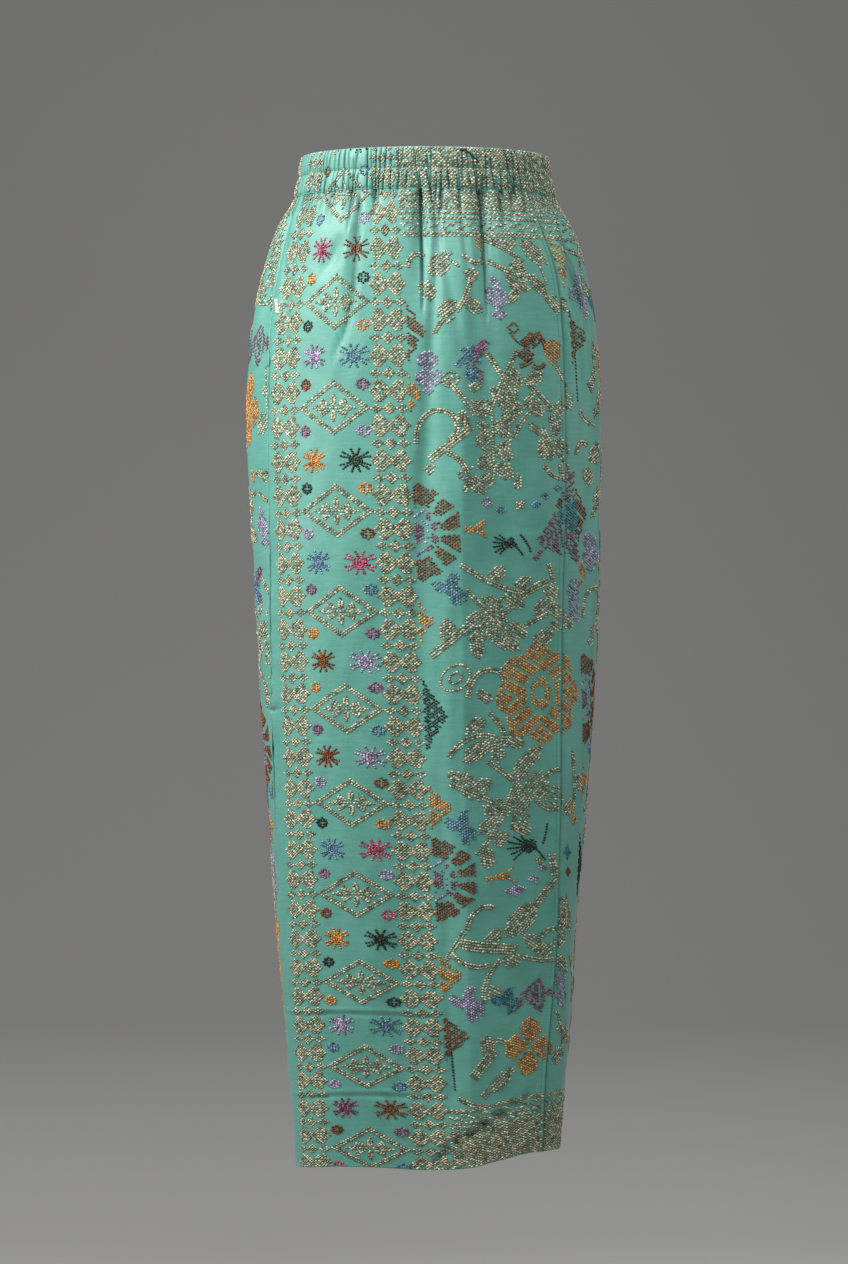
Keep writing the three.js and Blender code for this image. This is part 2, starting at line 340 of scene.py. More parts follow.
# Quarters of the silk motifs: half steps to the side of the middle and rows above it.
STAR = (
    (0, 0), (0, 1.3), (1.3, 0), (1.4, 0.9), (2.6, 1.4), (3.9, 1.8), (5.2, 2.3), (6.4, 2.7), (2.5, 0.3),
    (1.2, 1.9), (2.4, 2.5), (3.5, 3.4), (4.6, 4.2), (5.5, 5), (0.6, 2.8), (1, 4.1), (1.4, 5.4), (1.8, 6.7),
    (0, 3.6),
)
ROSETTE = ((0.9, 0.9), (2.2, 0.8), (2.9, 0), (1, 2.2), (2.1, 2), (0, 3.2))
# Where they stand: rows below or above a lozenge's middle, and half steps beside it.
STAR_PLACE = (32, 9.5)
ROSETTE_PLACE = (14, 13.5)
# How wide the motifs on the left of each lozenge are, next to those on its right.
LEFT_MOTIF = 0.76
# A lozenge's two outlines, in rows from its middle to its tip.
LOZENGE_OUTLINES = (16, 14)

# Silk colours of each lozenge, from the one above the waist: upper rosettes, lower rosettes and the
# stars under it, left and right of the middle.
LOZENGE_SILKS = (
    ("no", "ol", "on"),
    ("rs", "sl", "qr"),
    ("on", "no", "ls"),
    ("rp", "pl", "on"),
    ("no", "lr", "sq"),
    ("ps", "op", "rl"),
    ("op", "ps", "rl"),
    ("lr", "no", "sq"),
    ("pl", "rq", "on"),
    ("no", "on", "ls"),
    ("sl", "ls", "pr"),
    ("rp", "qs", "qn"),
)

THREADS = {
    "g": (221, 218, 184),
    "l": (184, 162, 202),
    "p": (150, 92, 126),
    "s": (108, 144, 172),
    "t": (64, 124, 146),
    "o": (236, 154, 70),
    "r": (134, 70, 28),
    "n": (40, 46, 24),
    "q": (196, 92, 120),
    "m": (148, 86, 116),
    "b": (30, 34, 26),
}

# Field motifs, in millimetres right of the column and down from the waist.
# Stems: where each starts, its heading (0 right, 90 down), length, how far it curls, strands and leaves.
STEMS = chart(
    "across down heading length curl strands leaves",
    (2, 96, -75, 27, 140, 2, 0),
    (44, 88, 40, 14, 0, 1, 0),
    (60, 84, 50, 25, -110, 2, 0),
    (64, 106, 112, 38, 20, 2, 2),
    (86, 68, 25, 40, 10, 2, 2),
    (86, 90, 30, 52, -40, 2, 2),
    (141, 86, 75, 26, 0, 1, 0),
    (128, 106, 48, 42, 0, 3, 1),
    (36, 143, 135, 20, -30, 2, 0),
    (70, 173, 55, 72, 22, 2, 2),
    (103, 175, 120, 66, -10, 2, 2),
    (95, 190, 42, 70, 0, 2, 3),
    (34, 201, 50, 46, 10, 2, 1),
    (4, 262, -85, 84, 260, 2, 0),
    (17, 277, -38, 52, 0, 3, 1),
    (28, 268, 25, 50, 110, 2, 1),
    (77, 232, 90, 62, 0, 1, 6),
    (97, 258, -65, 68, 130, 2, 2),
    (128, 250, 60, 44, -30, 2, 2),
    (147, 190, 50, 40, 80, 2, 1),
    (128, 286, 50, 30, -80, 2, 0),
    (40, 376, 35, 62, -20, 2, 2),
    (44, 400, 48, 64, 0, 2, 3),
    (86, 402, 132, 62, 0, 2, 3),
    (77, 425, -40, 58, 30, 3, 2),
    (128, 380, 70, 52, 70, 2, 1),
    (9, 461, -38, 44, 0, 3, 2),
    (41, 501, -80, 62, 200, 2, 1),
    (96, 440, -25, 48, 20, 2, 2),
    (60, 516, 50, 38, 50, 2, 1),
    (20, 556, -50, 64, 120, 2, 2),
    (56, 562, 40, 60, 25, 2, 2),
    (84, 577, 110, 86, 30, 2, 3),
    (57, 625, -40, 26, 40, 2, 0),
    (20, 582, 25, 46, 5, 2, 2),
    (131, 577, 160, 82, -70, 2, 3),
    (102, 606, 50, 52, -240, 2, 0),
    (148, 560, 85, 56, 10, 2, 2),
    (119, 684, 135, 32, 0, 3, 0),
    (116, 660, 85, 28, 0, 3, 0),
    (27, 720, -75, 38, 120, 2, 0),
    (20, 733, 15, 50, 0, 4, 2),
    (6, 748, -55, 32, 0, 2, 0),
    (95, 746, -60, 38, 130, 2, 1),
    (8, 740, 45, 44, -60, 2, 0),
    (75, 744, 155, 66, -80, 2, 1),
    (70, 751, 30, 54, -60, 2, 2),
    (24, 862, -45, 32, 0, 4, 1),
    (36, 833, -20, 36, 160, 2, 0),
    (9, 880, 35, 42, -50, 2, 0),
    (112, 812, 65, 46, 40, 2, 2),
    (136, 700, 110, 42, -30, 2, 2),
    (140, 760, 60, 48, 40, 2, 1),
)
# Silk stems: the thread, then the same as above.
SILK_STEMS = (
    ("r", 97, 158, 60, 20, -50, 1, 0),
    ("r", 110, 170, -38, 22, 20, 2, 0),
    ("r", 127, 158, 55, 18, 20, 2, 0),
    ("r", 106, 190, -10, 16, -40, 2, 0),
    ("r", 118, 188, 40, 18, -120, 2, 0),
    ("s", 44, 190, -50, 26, 0, 2, 0),
    ("s", 50, 178, 70, 24, 0, 2, 0),
    ("p", 60, 186, -75, 22, 60, 2, 0),
    ("b", 99, 350, 50, 20, 30, 1, 0),
    ("b", 113, 630, 100, 20, 20, 1, 0),
    ("n", 5, 836, 88, 36, 0, 1, 0),
    ("t", 46, 792, 40, 10, 0, 1, 0),
)
LEAF_LENGTH = 23
LEAF_WIDTH = 14
LEAF_ANGLE = 48

# Patches: shape, thread and filling, then for each the place across and down, width, height and any tilt in
# degrees. Later ones lie over earlier ones.
PATCHES = (
    ("leaf g full", (35, 93, 32, 20, 30), (37, 143, 20, 12, 40)),
    ("oval g full", (20, 118, 16, 20), (64, 104, 13, 13)),
    ("leaf g full",
     (104, 72, 26, 10, -20), (112, 108, 30, 22, -50), (104, 124, 18, 10, 35), (140, 80, 34, 20, -35)),
    ("oval o full", (80, 73, 9, 14)),
    ("diamond l full", (87, 110, 14, 12)),
    ("oval l full", (87, 124, 24, 22)),
    ("diamond l full", (87, 141, 16, 14)),
    ("oval l full", (18, 184, 20, 18), (18, 200, 26, 18)),
    ("diamond l full", (18, 212, 12, 12)),
    ("half r rows", (0, 157, 34, 46)),
    ("oval r ring", (101, 153, 13, 11)),
    ("diamond r net", (120, 166, 30, 18)),
    ("diamond r full", (113, 179, 22, 17)),
    ("oval o full", (143, 174, 22, 20)),
    ("diamond o full", (143, 186, 12, 10)),
    ("leaf s full", (58, 180, 26, 12, -35)),
    ("leaf p full", (68, 172, 22, 12, 55), (64, 196, 20, 10, -60)),
    ("oval s full", (58, 198, 12, 14)),
    ("leaf g full", (90, 222, 40, 20, -50), (62, 208, 18, 9, 30)),
    ("half o rows", (0, 216, 24, 30)),
    ("oval g ring", (38, 202, 15, 13)),
    ("oval g full", (16, 286, 11, 9)),
    ("leaf g full",
     (68, 246, 18, 9, -40), (88, 246, 18, 9, 40), (68, 264, 18, 9, -40), (88, 264, 18, 9, 40),
     (67, 282, 18, 9, -40), (87, 282, 18, 9, 40), (134, 268, 30, 24, 60), (120, 250, 20, 9, -30),
     (99, 300, 16, 9, 90), (118, 222, 18, 9, 20), (48, 290, 18, 9, 70)),
    ("diamond g full", (100, 322, 12, 10)),
    ("diamond l full", (67, 318, 15, 12)),
    ("diamond s full", (82, 325, 13, 10), (116, 323, 13, 10), (127, 315, 13, 10), (142, 307, 13, 10)),
    ("medallion r full", (0, 345, 86, 96)),
    ("arrow o full", (56, 343, 20, 22)),
    ("bud b full", (88, 358, 30, 26)),
    ("fan m full", (130, 356, 44, 44, 14)),
    ("leaf r full", (147, 322, 18, 10, 30)),
    ("shell m rows", (165, 335, 52, 84)),
    ("bird s full", (28, 399, 34, 32)),
    ("half o rows", (0, 428, 28, 32)),
    ("leaf g full", (78, 448, 36, 18, -35), (64, 436, 18, 10, 50)),
    ("leaf g ring", (30, 482, 30, 22, 60)),
    ("leaf g full", (118, 452, 30, 16, 20), (134, 440, 18, 9, -50)),
    ("kite b net", (0, 517, 42, 66)),
    ("blossom o rings", (113, 504, 92, 98)),
    ("shell l full", (160, 415, 34, 40)),
    ("leaf g full",
     (46, 552, 34, 16, 10), (94, 568, 42, 16, 15), (56, 500, 18, 10, -60), (36, 584, 46, 20, -26)),
    ("oval g full", (63, 604, 11, 10), (64, 638, 17, 13)),
    ("leaf g full", (100, 588, 26, 12, 30), (86, 622, 22, 11, 35)),
    ("oval g ring", (120, 608, 14, 18)),
    ("half o rows", (0, 604, 40, 36)),
    ("bird s full", (27, 623, 28, 34)),
    ("medallion r full", (0, 672, 84, 82)),
    ("arrow o full", (61, 674, 28, 15)),
    ("bud b full", (92, 650, 38, 34, -12)),
    ("diamond l full", (76, 690, 24, 14), (95, 683, 13, 9), (106, 673, 11, 9)),
    ("diamond t full", (138, 659, 17, 15)),
    ("diamond r full", (139, 678, 14, 14)),
    ("diamond o full", (150, 628, 11, 14), (144, 618, 10, 12)),
    ("leaf g full",
     (80, 720, 44, 24, 44), (134, 720, 22, 40), (104, 664, 14, 9, 60), (94, 746, 36, 15, -8)),
    ("oval g full", (64, 759, 10, 9)),
    ("half o rows", (0, 764, 40, 34)),
    ("bird l full", (22, 791, 32, 34)),
    ("bird t full", (60, 795, 28, 28)),
    ("fan m full", (84, 795, 34, 34)),
    ("diamond m full", (106, 794, 14, 12)),
    ("shell l ring", (120, 790, 26, 36)),
    ("kite r net", (0, 822, 48, 42)),
    ("blossom o petals", (80, 844, 50, 56)),
    ("leaf g full", (50, 871, 32, 14)),
    ("oval g full", (35, 880, 10, 8)),
    ("leaf g full", (116, 830, 14, 9, 40), (114, 852, 16, 9, -40)),
)
# Rows that the motifs move down in every second repeat of the field, and in every pair of repeats.
FIELD_SHIFT = 112
PAIR_SHIFT = 68


# Height of a gather at the casing's edge, in metres, for which the gathers' own depths are given.
GATHER_HEIGHT = 0.0012


class SkirtSizes(bpy.types.PropertyGroup):
    """Sizes that a maker would change."""

    cloth_wall: bpy.props.FloatProperty(
        name="Cloth thickness", description="Thickness of a panel's cloth", default=0.0009, unit="LENGTH"
    )
    band_wall: bpy.props.FloatProperty(
        name="Casing thickness", description="Both cloths of the casing and its elastic",
        default=0.0022, unit="LENGTH",
    )
    gather_count: bpy.props.IntProperty(
        name="Gathers", description="Lines that the elastic draws in all round", default=150
    )
    gather_height: bpy.props.FloatProperty(
        name="Gather height", description="Height of a gather at the casing's edge",
        default=GATHER_HEIGHT, unit="LENGTH",
    )
    float_height: bpy.props.FloatProperty(
        name="Float height", description="How far a pattern thread stands off the cloth",
        default=0.001, unit="LENGTH",
    )
    stitch_length: bpy.props.FloatProperty(
        name="Stitch length", description="Length of one machine stitch", default=0.0028, unit="LENGTH"
    )
    floor_drop: bpy.props.FloatProperty(
        name="Floor below waist", description="Distance from the waist to the floor",
        default=1.2, unit="LENGTH",
    )


class SkirtColours(bpy.types.PropertyGroup):
    """Colours that a maker would change."""

    ground: bpy.props.FloatVectorProperty(
        name="Ground", description="Silk ground of the cloth", default=(0.124, 0.392, 0.322), subtype="COLOR"
    )
    shade: bpy.props.FloatVectorProperty(
        name="Deep ground", description="Ground where the dye took more",
        default=(0.088, 0.318, 0.256), subtype="COLOR",
    )
    sewing: bpy.props.FloatVectorProperty(
        name="Sewing thread", description="Matching machine thread",
        default=(0.07, 0.27, 0.21), subtype="COLOR",
    )
    mend: bpy.props.FloatVectorProperty(
        name="Mend", description="Pale darning thread", default=(0.82, 0.80, 0.72), subtype="COLOR"
    )
    stray: bpy.props.FloatVectorProperty(
        name="Stray thread", description="Dark thread end on the casing",
        default=(0.02, 0.022, 0.02), subtype="COLOR",
    )
    backdrop: bpy.props.FloatVectorProperty(
        name="Backdrop", description="Paper behind the skirt", default=(0.27, 0.268, 0.263), subtype="COLOR"
    )


def sizes():
    return bpy.context.scene.skirt_sizes


def colours():
    return bpy.context.scene.skirt_colours


# ---- the cloth's form ----


def read_chart(table, column, level):
    """One column of a chart at a level, along a smooth curve through its rows."""
    keys, values = table["level"], table[column]
    last = len(keys) - 1
    place = np.clip(np.asarray(level, float), keys[last], keys[0])
    row = np.clip(np.searchsorted(-keys, -place, side="right") - 1, 0, last - 1)
    index = np.arange(last + 1)
    above, below = np.maximum(index - 1, 0), np.minimum(index + 1, last)
    slopes = (values[below] - values[above]) / (keys[above] - keys[below])
    span = keys[row] - keys[row + 1]
    t = (keys[row] - place) / span
    return (
        (2 * t**3 - 3 * t**2 + 1) * values[row]
        + (t**3 - 2 * t**2 + t) * span * slopes[row]
        + (3 * t**2 - 2 * t**3) * values[row + 1]
        + (t**3 - t**2) * span * slopes[row + 1]
    )


def smooth(t):
    t = np.clip(t, 0, 1)
    return t * t * (3 - 2 * t)


def bell(away, width):
    """A soft bump: 1 in its middle, falling away over its width."""
    return np.exp(-((away / width) ** 2))


def ring_at(level):
    """The plain section at a level: its points and the round of each, from the back on the left."""
    turn = np.linspace(-np.pi, np.pi, RING_POINTS + 1)
    across, ahead = np.sin(turn), np.cos(turn)
    left, right, front, back, square = (
        float(read_chart(SECTIONS, side, level)) for side in ("left", "right", "front", "back", "square")
    )
    wide = np.where(across < 0, left, right)
    deep = np.where(ahead > 0, front, back)
    radius = (np.abs(across / wide) ** square + np.abs(ahead / deep) ** square) ** (-1 / square)
    x, y = radius * across, -radius * ahead
    arc = np.concatenate(([0], np.cumsum(np.hypot(np.diff(x), np.diff(y)))))
    return x, y, arc - arc[RING_POINTS // 2]


def girth_at(level):
    arc = ring_at(level)[2]
    return arc[-1] - arc[0]


def ring_points(levels, rounds):
    """Plain points of the tube and the way out of it, for a grid of rounds with a level for each row."""
    points = np.zeros(rounds.shape + (2,))
    outs = np.zeros_like(points)
    for row, level in enumerate(levels):
        x, y, arc = ring_at(level)
        girth = arc[-1] - arc[0]

        def at(round_):
            place = (round_ - arc[0]) % girth + arc[0]
            return np.stack((np.interp(place, arc, x), np.interp(place, arc, y)), -1)

        along = at(rounds[row] + 1.5) - at(rounds[row] - 1.5)
        along /= np.linalg.norm(along, axis=-1, keepdims=True)
        points[row] = at(rounds[row])
        outs[row] = np.stack((along[:, 1], -along[:, 0]), -1)
    return points, outs


def hang(levels, points):
    """Heights once the uneven hem is shared out along the cloth's length."""
    side = np.degrees(np.arctan2(points[..., 0], -points[..., 1]))
    hem = read_chart(HEM, "hem", side)
    share = (levels[:, None] - BAND_BOTTOM) / (HEM_LEVEL - BAND_BOTTOM)
    return levels[:, None] + share * (hem - HEM_LEVEL)


def waver(place, seed, reach):
    """A slow uneven wave, between about -1 and 1, along the cloth."""
    draw = np.random.default_rng(seed)
    total = np.zeros_like(np.asarray(place, float))
    for octave in range(4):
        start = draw.uniform(0, 2 * np.pi)
        total += np.sin(2 * np.pi * place / reach * (1 + 0.73 * octave) + start) / (1 + 0.6 * octave)
    return total / 1.7


def fold_relief(levels, rounds):
    """Relief of the large folds and of the pressed crease, as the solids have it."""
    level = levels[:, None]
    girth = np.array([girth_at(z) for z in levels])[:, None]
    height = np.zeros_like(rounds)
    for fold in range(len(FOLDS["round"])):
        place, drift, top, bottom, tall, width = (
            FOLDS[name][fold] for name in ("round", "drift", "top", "bottom", "height", "width")
        )
        down = (top - level) / (top - bottom)
        aside = (rounds - place - drift * down + girth / 2) % girth - girth / 2
        hold = smooth(down / 0.1) * (1 - smooth((down - 0.25) / 0.75)) * ((down > 0) & (down < 1))
        height += tall * hold * bell(aside, width * (0.6 + np.clip(down, 0, 1)))
    crease = read_chart(LINES, "crease", level)
    face = np.where(rounds > crease, read_chart(LINES, "tuck", level) - crease, CREASE_LEFT_FACE)
    from_crease = np.abs(rounds - crease) / face
    rounding = read_chart(CREASE_RIDGE, "rounding", level)
    from_crease = np.minimum(np.sqrt(from_crease**2 + rounding**2) - rounding, 1)
    return height + read_chart(CREASE_RIDGE, "height", level) * (1 - from_crease) ** 2


def path_gap(across, down, path):
    """Distance from each place to a path, and how far along the path its nearest point lies, 0 to 1."""
    path = np.array(path, float)
    steps = np.linalg.norm(np.diff(path, axis=0), axis=1)
    starts = np.concatenate(([0], np.cumsum(steps)))
    gap = np.full(across.shape, np.inf)
    along = np.zeros(across.shape)
    for i, length in enumerate(steps):
        if length == 0:
            continue
        way = (path[i + 1] - path[i]) / length
        t = np.clip((across - path[i, 0]) * way[0] + (down - path[i, 1]) * way[1], 0, length)
        far = np.hypot(across - path[i, 0] - t * way[0], down - path[i, 1] - t * way[1])
        nearer = far < gap
        gap = np.where(nearer, far, gap)
        along = np.where(nearer, (starts[i] + t) / starts[-1], along)
    return gap, along


def crease_relief(levels, rounds):
    """Relief of the pressed and crumpled lines and of the seam's puckers."""
    level = np.broadcast_to(levels[:, None], rounds.shape)
    height = np.zeros_like(rounds)
    for tall, width, path in CREASES:
        gap, along = path_gap(rounds, level, path)
        height += tall * bell(gap, width) * smooth(np.minimum(along, 1 - along) / 0.12 + 0.25)
    girth = np.array([girth_at(z) for z in levels])[:, None]
    from_seam = (rounds - read_chart(LINES, "seam", levels)[:, None] + girth / 2) % girth - girth / 2
    for start, length, rise, depth in zip(*(PUCKERS[name] for name in ("level", "length", "rise", "depth"))):
        away = from_seam / length
        line = start + rise * away
        narrow = 2.2 + 3 * np.clip(away, 0, 1)
        pucker = PUCKER_SCALE * depth * bell(level - line, narrow)
        height -= pucker * smooth(1 - away) * smooth(1 + 2.5 * away)
    return height


def slit_shade(levels, rounds):
    """How deep in a slit each place lies, 0 to 1: the sharp folds under the casing keep the light out."""
    level = np.broadcast_to(levels[:, None], rounds.shape)
    shade = np.zeros_like(rounds)
    for tall, width, path in CREASES:
        if tall > -SLIT_LEAST or width > SLIT_WIDEST:
            continue
        gap, along = path_gap(rounds, level, path)
        deep = min(1, -tall / SLIT_DEEP)
        shade = np.maximum(shade, deep * bell(gap, 0.9 * width) * smooth((1 - along) / 0.45))
    return shade


def soft_relief(levels, stations):
    """The cloth's own slow unevenness, which no fold or crease explains."""
    level = levels[:, None]
    hold = smooth((BAND_BOTTOM - 40 - level) / 120)
    drop = 0.55 * waver(stations + 0.16 * level, 11, 92) + 0.35 * waver(stations - 0.3 * level, 12, 61)
    roll = 0.4 * waver(level + 0.4 * stations, 13, 210)
    patch = smooth(0.4 + waver(stations - 0.8 * level, 15, 150))
    wrinkle = 0.34 * patch * waver(level + 0.7 * stations, 14, 36)
    return hold * (drop + roll + wrinkle)


@cache
def gather_lines():
    """The narrow lines that the elastic draws in: place, slant, first and last level, depth and width."""
    girth = girth_at(BAND_BOTTOM)
    draw = np.random.default_rng(41)
    mean = girth / sizes().gather_count
    lines, place = [], CASING_START
    while place < girth + CASING_START - 0.6 * mean:
        start = BAND_TOP + 2 if draw.random() < 0.72 else draw.choice((12.0, 1.0, -2.0))
        reach = draw.choice((7, 18, 34, 72), p=(0.4, 0.3, 0.2, 0.1)) * draw.uniform(0.6, 1.15)
        stop = BAND_BOTTOM - reach if draw.random() < 0.82 else -2.0
        slant = draw.normal(0.03, 0.07)
        lines.append((place, slant, start, stop, draw.uniform(0.7, 1.6), draw.uniform(0.4, 0.7)))
        place += mean * draw.uniform(0.62, 1.38)
    return lines


def gather_relief(levels, stations, narrowest):
    """The elastic's gathers, sharp lines between puffs that die away below the casing, and their shade."""
    level = levels[:, None]
    below = np.maximum(BAND_BOTTOM - level, 0)
    girth = girth_at(BAND_BOTTOM)
    height, shade = np.zeros_like(stations), np.zeros_like(stations)
    for place, slant, start, stop, depth, width in gather_lines():
        aside = (stations - place - slant * (BAND_TOP - level) + girth / 2) % girth - girth / 2
        hold = smooth((start - level) / 4) * smooth((level - stop) / (8 + 0.6 * (BAND_BOTTOM - stop)))
        wide = np.maximum(width, narrowest) + 0.03 * below
        line = bell(aside, wide)
        puff = 0.3 * bell(aside, 1.9 + 0.03 * below)
        height -= depth * sizes().gather_height / GATHER_HEIGHT * hold * (line + puff)
        shade = np.maximum(shade, 0.85 * depth * hold * line * np.exp(-below / 22))
    return height, shade


class Cloth:
    """A grid of cloth: a row for each level and a column for each line down the cloth."""

    def __init__(self, levels, rounds, relief, shade, loop=False):
        self.levels, self.rounds, self.loop = levels, rounds, loop
        # shade is painted shade, 0 to 1, by which the material darkens the ground's colour.
        self.shade = np.clip(shade, 0, 1)
        self.girths = np.array([girth_at(level) for level in levels])
        flat, outs = ring_points(levels, rounds)
        place = flat + outs * relief[..., None]
        heights = hang(levels, flat) if not loop else np.broadcast_to(levels[:, None], rounds.shape)
        self.points = np.concatenate((place, heights[..., None]), -1) * MM
        if loop:
            along = np.roll(self.points, -1, 1) - np.roll(self.points, 1, 1)
        else:
            along = np.gradient(self.points, axis=1)
        up = -np.gradient(self.points, axis=0)
        normals = np.cross(along, up)
        self.normals = normals / np.linalg.norm(normals, axis=-1, keepdims=True)

    def spot(self, row, column):
        """Point, outward normal, way along the row and shade at fractional rows and columns."""
        rows, columns = self.rounds.shape
        r = np.clip(row, 0, rows - 1.001)
        c = column % columns if self.loop else np.clip(column, 0, columns - 1.001)
        r0, c0 = np.floor(r).astype(int), np.floor(c).astype(int)
        c1 = (c0 + 1) % columns
        fr, fc = (r - r0)[:, None], (c - c0)[:, None]

        def blend(grid):
            upper = grid[r0, c0] * (1 - fc) + grid[r0, c1] * fc
            lower = grid[r0 + 1, c0] * (1 - fc) + grid[r0 + 1, c1] * fc
            return upper * (1 - fr) + lower * fr

        normal = blend(self.normals)
        normal /= np.linalg.norm(normal, axis=1, keepdims=True)
        along = blend(np.roll(self.points, -1, 1) - self.points) if self.loop else blend(self.steps())
        along -= normal * np.sum(along * normal, axis=1, keepdims=True)
        along /= np.linalg.norm(along, axis=1, keepdims=True)
        return blend(self.points), normal, along, blend(self.shade[..., None])[:, 0]

    def steps(self):
        if not hasattr(self, "_steps"):
            self._steps = np.gradient(self.points, axis=1)
        return self._steps

    def find(self, rounds, levels):
        """Fractional rows and columns of rounds and levels on this cloth."""
        row = np.interp(-levels, -self.levels, np.arange(len(self.levels)))
        if self.loop:
            start = CASING_START / girth_at(BAND_BOTTOM)
            share = rounds / np.interp(-levels, -self.levels, self.girths) - start
            return row, share % 1 * self.rounds.shape[1]
        column = np.zeros_like(row)
        whole = np.floor(row).astype(int)
        order = np.arange(self.rounds.shape[1])
        for r in np.unique(whole):
            pick = whole == r
            share = (row[pick] - r)[:, None]
            below = min(r + 1, len(self.levels) - 1)
            upper = np.interp(rounds[pick], self.rounds[r], order)
            lower = np.interp(rounds[pick], self.rounds[below], order)
            column[pick] = upper * (1 - share[:, 0]) + lower * share[:, 0]
        return row, column


# Where a panel's rows lie closer: middle, reach and gap.
CLOSE_ROWS = ((-26, 6, 2), (-800, 7, 1.3), (-878, 7, 1.3), (-513, 5, 1.2), (-943, 5, 1.2))


def panel_levels(step):
    """Levels of a panel's rows: even, and closer at the casing, at the pressed lines and at the hem."""
    top = BAND_BOTTOM - SEAM_GAP
    levels = set(np.round(np.linspace(top, HEM_LEVEL, round((BAND_BOTTOM - HEM_LEVEL) / step)), 2))
    for middle, reach, gap in CLOSE_ROWS:
        near = {level for level in levels if abs(level - middle) < reach and level not in (top, HEM_LEVEL)}
        levels = levels - near
        levels |= set(np.round(np.arange(middle - reach, middle + reach, gap), 2))
    return np.array(sorted((z for z in levels if HEM_LEVEL <= z <= top), reverse=True))


FRONT_LEFT_COLUMNS = 148
FRONT_RIGHT_COLUMNS = 84
# Where the slits cross each face of the front, as shares of the face at the waist, and how much closer
# the columns lie there.
FRONT_LEFT_SLITS = (0.42, 0.55, 0.785, 0.903)
FRONT_RIGHT_SLITS = (0.26, 0.56, 0.74)
SLIT_CLOSER = 1.6
BACK_COLUMNS = 220
LAP_COLUMNS = 8
SETTLE_COLUMNS = 8
# Distances between the even rows of the front and of the back.
FRONT_ROW = 6.4
BACK_ROW = 8.2
# The narrowest gather that the columns of the front, the back and the casing can carry.
FRONT_NARROWEST = 1.0
BACK_NARROWEST = 1.3
BAND_NARROWEST = 0.5
# How deep and how wide the cloth dips at a line of stitching on the tuck or the casing, and at the side seam.
TUCK_DIP = (0.4, 0.9)
CASING_DIP = (0.45, 0.8)
SEAM_DIP = (0.25, 1.6)
# Levels of the casing's rows, closer at its edges and at its stitching.
BAND_LEVELS = np.array((
    20, 19.6, 19, 18, 16.5, 14.5, 12, 9.5, 7, 4.5, 2.5, 1.2, 0.5, 0, -0.5, -1.2, -2.5, -4.5, -7, -9.5,
    -12, -14, -16, -17.3, -18, -18.6, -19.2, -19.7, -20,
), float)


def dip(away, depth_and_width):
    """How far the cloth dips at a distance from a seam or a line of stitching."""
    depth, width = depth_and_width
    return depth * bell(away, width)


@cache
def front_cloth():
    levels = panel_levels(FRONT_ROW)
    seam = read_chart(LINES, "seam", levels)[:, None] + SEAM_GAP / 2
    crease = read_chart(LINES, "crease", levels)[:, None]
    tuck = read_chart(LINES, "tuck", levels)[:, None]
    left = seam + (crease - seam) * closer(FRONT_LEFT_COLUMNS, FRONT_LEFT_SLITS)[:-1]
    right = crease + (tuck - crease) * closer(FRONT_RIGHT_COLUMNS, FRONT_RIGHT_SLITS)
    rounds = np.concatenate((left, right), 1)
    stations = np.broadcast_to(rounds[0], rounds.shape)
    relief = fold_relief(levels, rounds) + crease_relief(levels, rounds) + soft_relief(levels, stations)
    near_tuck = smooth((tuck - rounds) / 10)
    gathers, shade = gather_relief(levels, stations, FRONT_NARROWEST)
    relief += gathers * near_tuck + hem_relief(levels)
    relief -= dip(tuck - TUCK_STITCH - rounds, TUCK_DIP)
    relief -= dip(rounds - seam, SEAM_DIP)
    shade = np.maximum(shade * near_tuck, slit_shade(levels, rounds))
    # Painted shadow: a dark line along the front's edge at the tuck.
    shade = np.maximum(shade, 0.85 * bell(tuck - rounds, 0.7))
    return Cloth(levels, rounds, relief, shade)


def closer(count, slits):
    """Shares of the way across a face, with the columns closer together beside the slits."""
    place = np.linspace(0, 1, 2001)
    density = 1 + sum(SLIT_CLOSER * bell(place - slit, 0.022) for slit in slits)
    filled = np.concatenate(([0], np.cumsum(0.5 * (density[1:] + density[:-1]))))
    return np.interp(np.linspace(0, 1, count + 1), filled / filled[-1], place)


def hem_relief(levels):
    """The hem's narrow turning, which stands a little proud above a soft line."""
    up = (levels - HEM_LEVEL)[:, None]
    return 0.35 * bell(up, 2.2)


@cache
def back_cloth():
    levels = panel_levels(BACK_ROW)
    tuck = read_chart(LINES, "tuck", levels)[:, None]
    girth = np.array([girth_at(z) for z in levels])[:, None]
    seam = read_chart(LINES, "seam", levels)[:, None] - SEAM_GAP / 2 + girth
    lap = tuck - LAP_WIDTH * np.linspace(1, 0, LAP_COLUMNS, endpoint=False)
    share = np.linspace(0, 1, SETTLE_COLUMNS, endpoint=False)
    settle = tuck + LAP_SETTLE * share
    main = tuck + LAP_SETTLE + (seam - tuck - LAP_SETTLE) * np.linspace(0, 1, BACK_COLUMNS + 1)
    rounds = np.concatenate((lap, settle, main), 1)
    inset = np.zeros(rounds.shape[1])
    inset[:LAP_COLUMNS] = LAP_STEP + LAP_HIDDEN * smooth(np.linspace(3, 0, LAP_COLUMNS, endpoint=False))
    inset[LAP_COLUMNS : LAP_COLUMNS + SETTLE_COLUMNS] = LAP_STEP * (1 - smooth(share))
    stations = np.broadcast_to(rounds[0], rounds.shape)
    relief = fold_relief(levels, rounds) + crease_relief(levels, rounds) + soft_relief(levels, stations)
    clear = smooth((rounds - tuck - 4) / 14)
    gathers, shade = gather_relief(levels, stations, BACK_NARROWEST)
    relief += gathers * clear + hem_relief(levels) - inset
    relief -= dip(rounds - seam, SEAM_DIP)
    shade = np.maximum(shade * clear, slit_shade(levels, rounds))
    # Painted shadow on the back cloth: full under the tuck and fading out beside its edge.
    shade = np.maximum(shade, bell(np.maximum(rounds - tuck, 0), 1.6))
    return Cloth(levels, rounds, relief, shade)


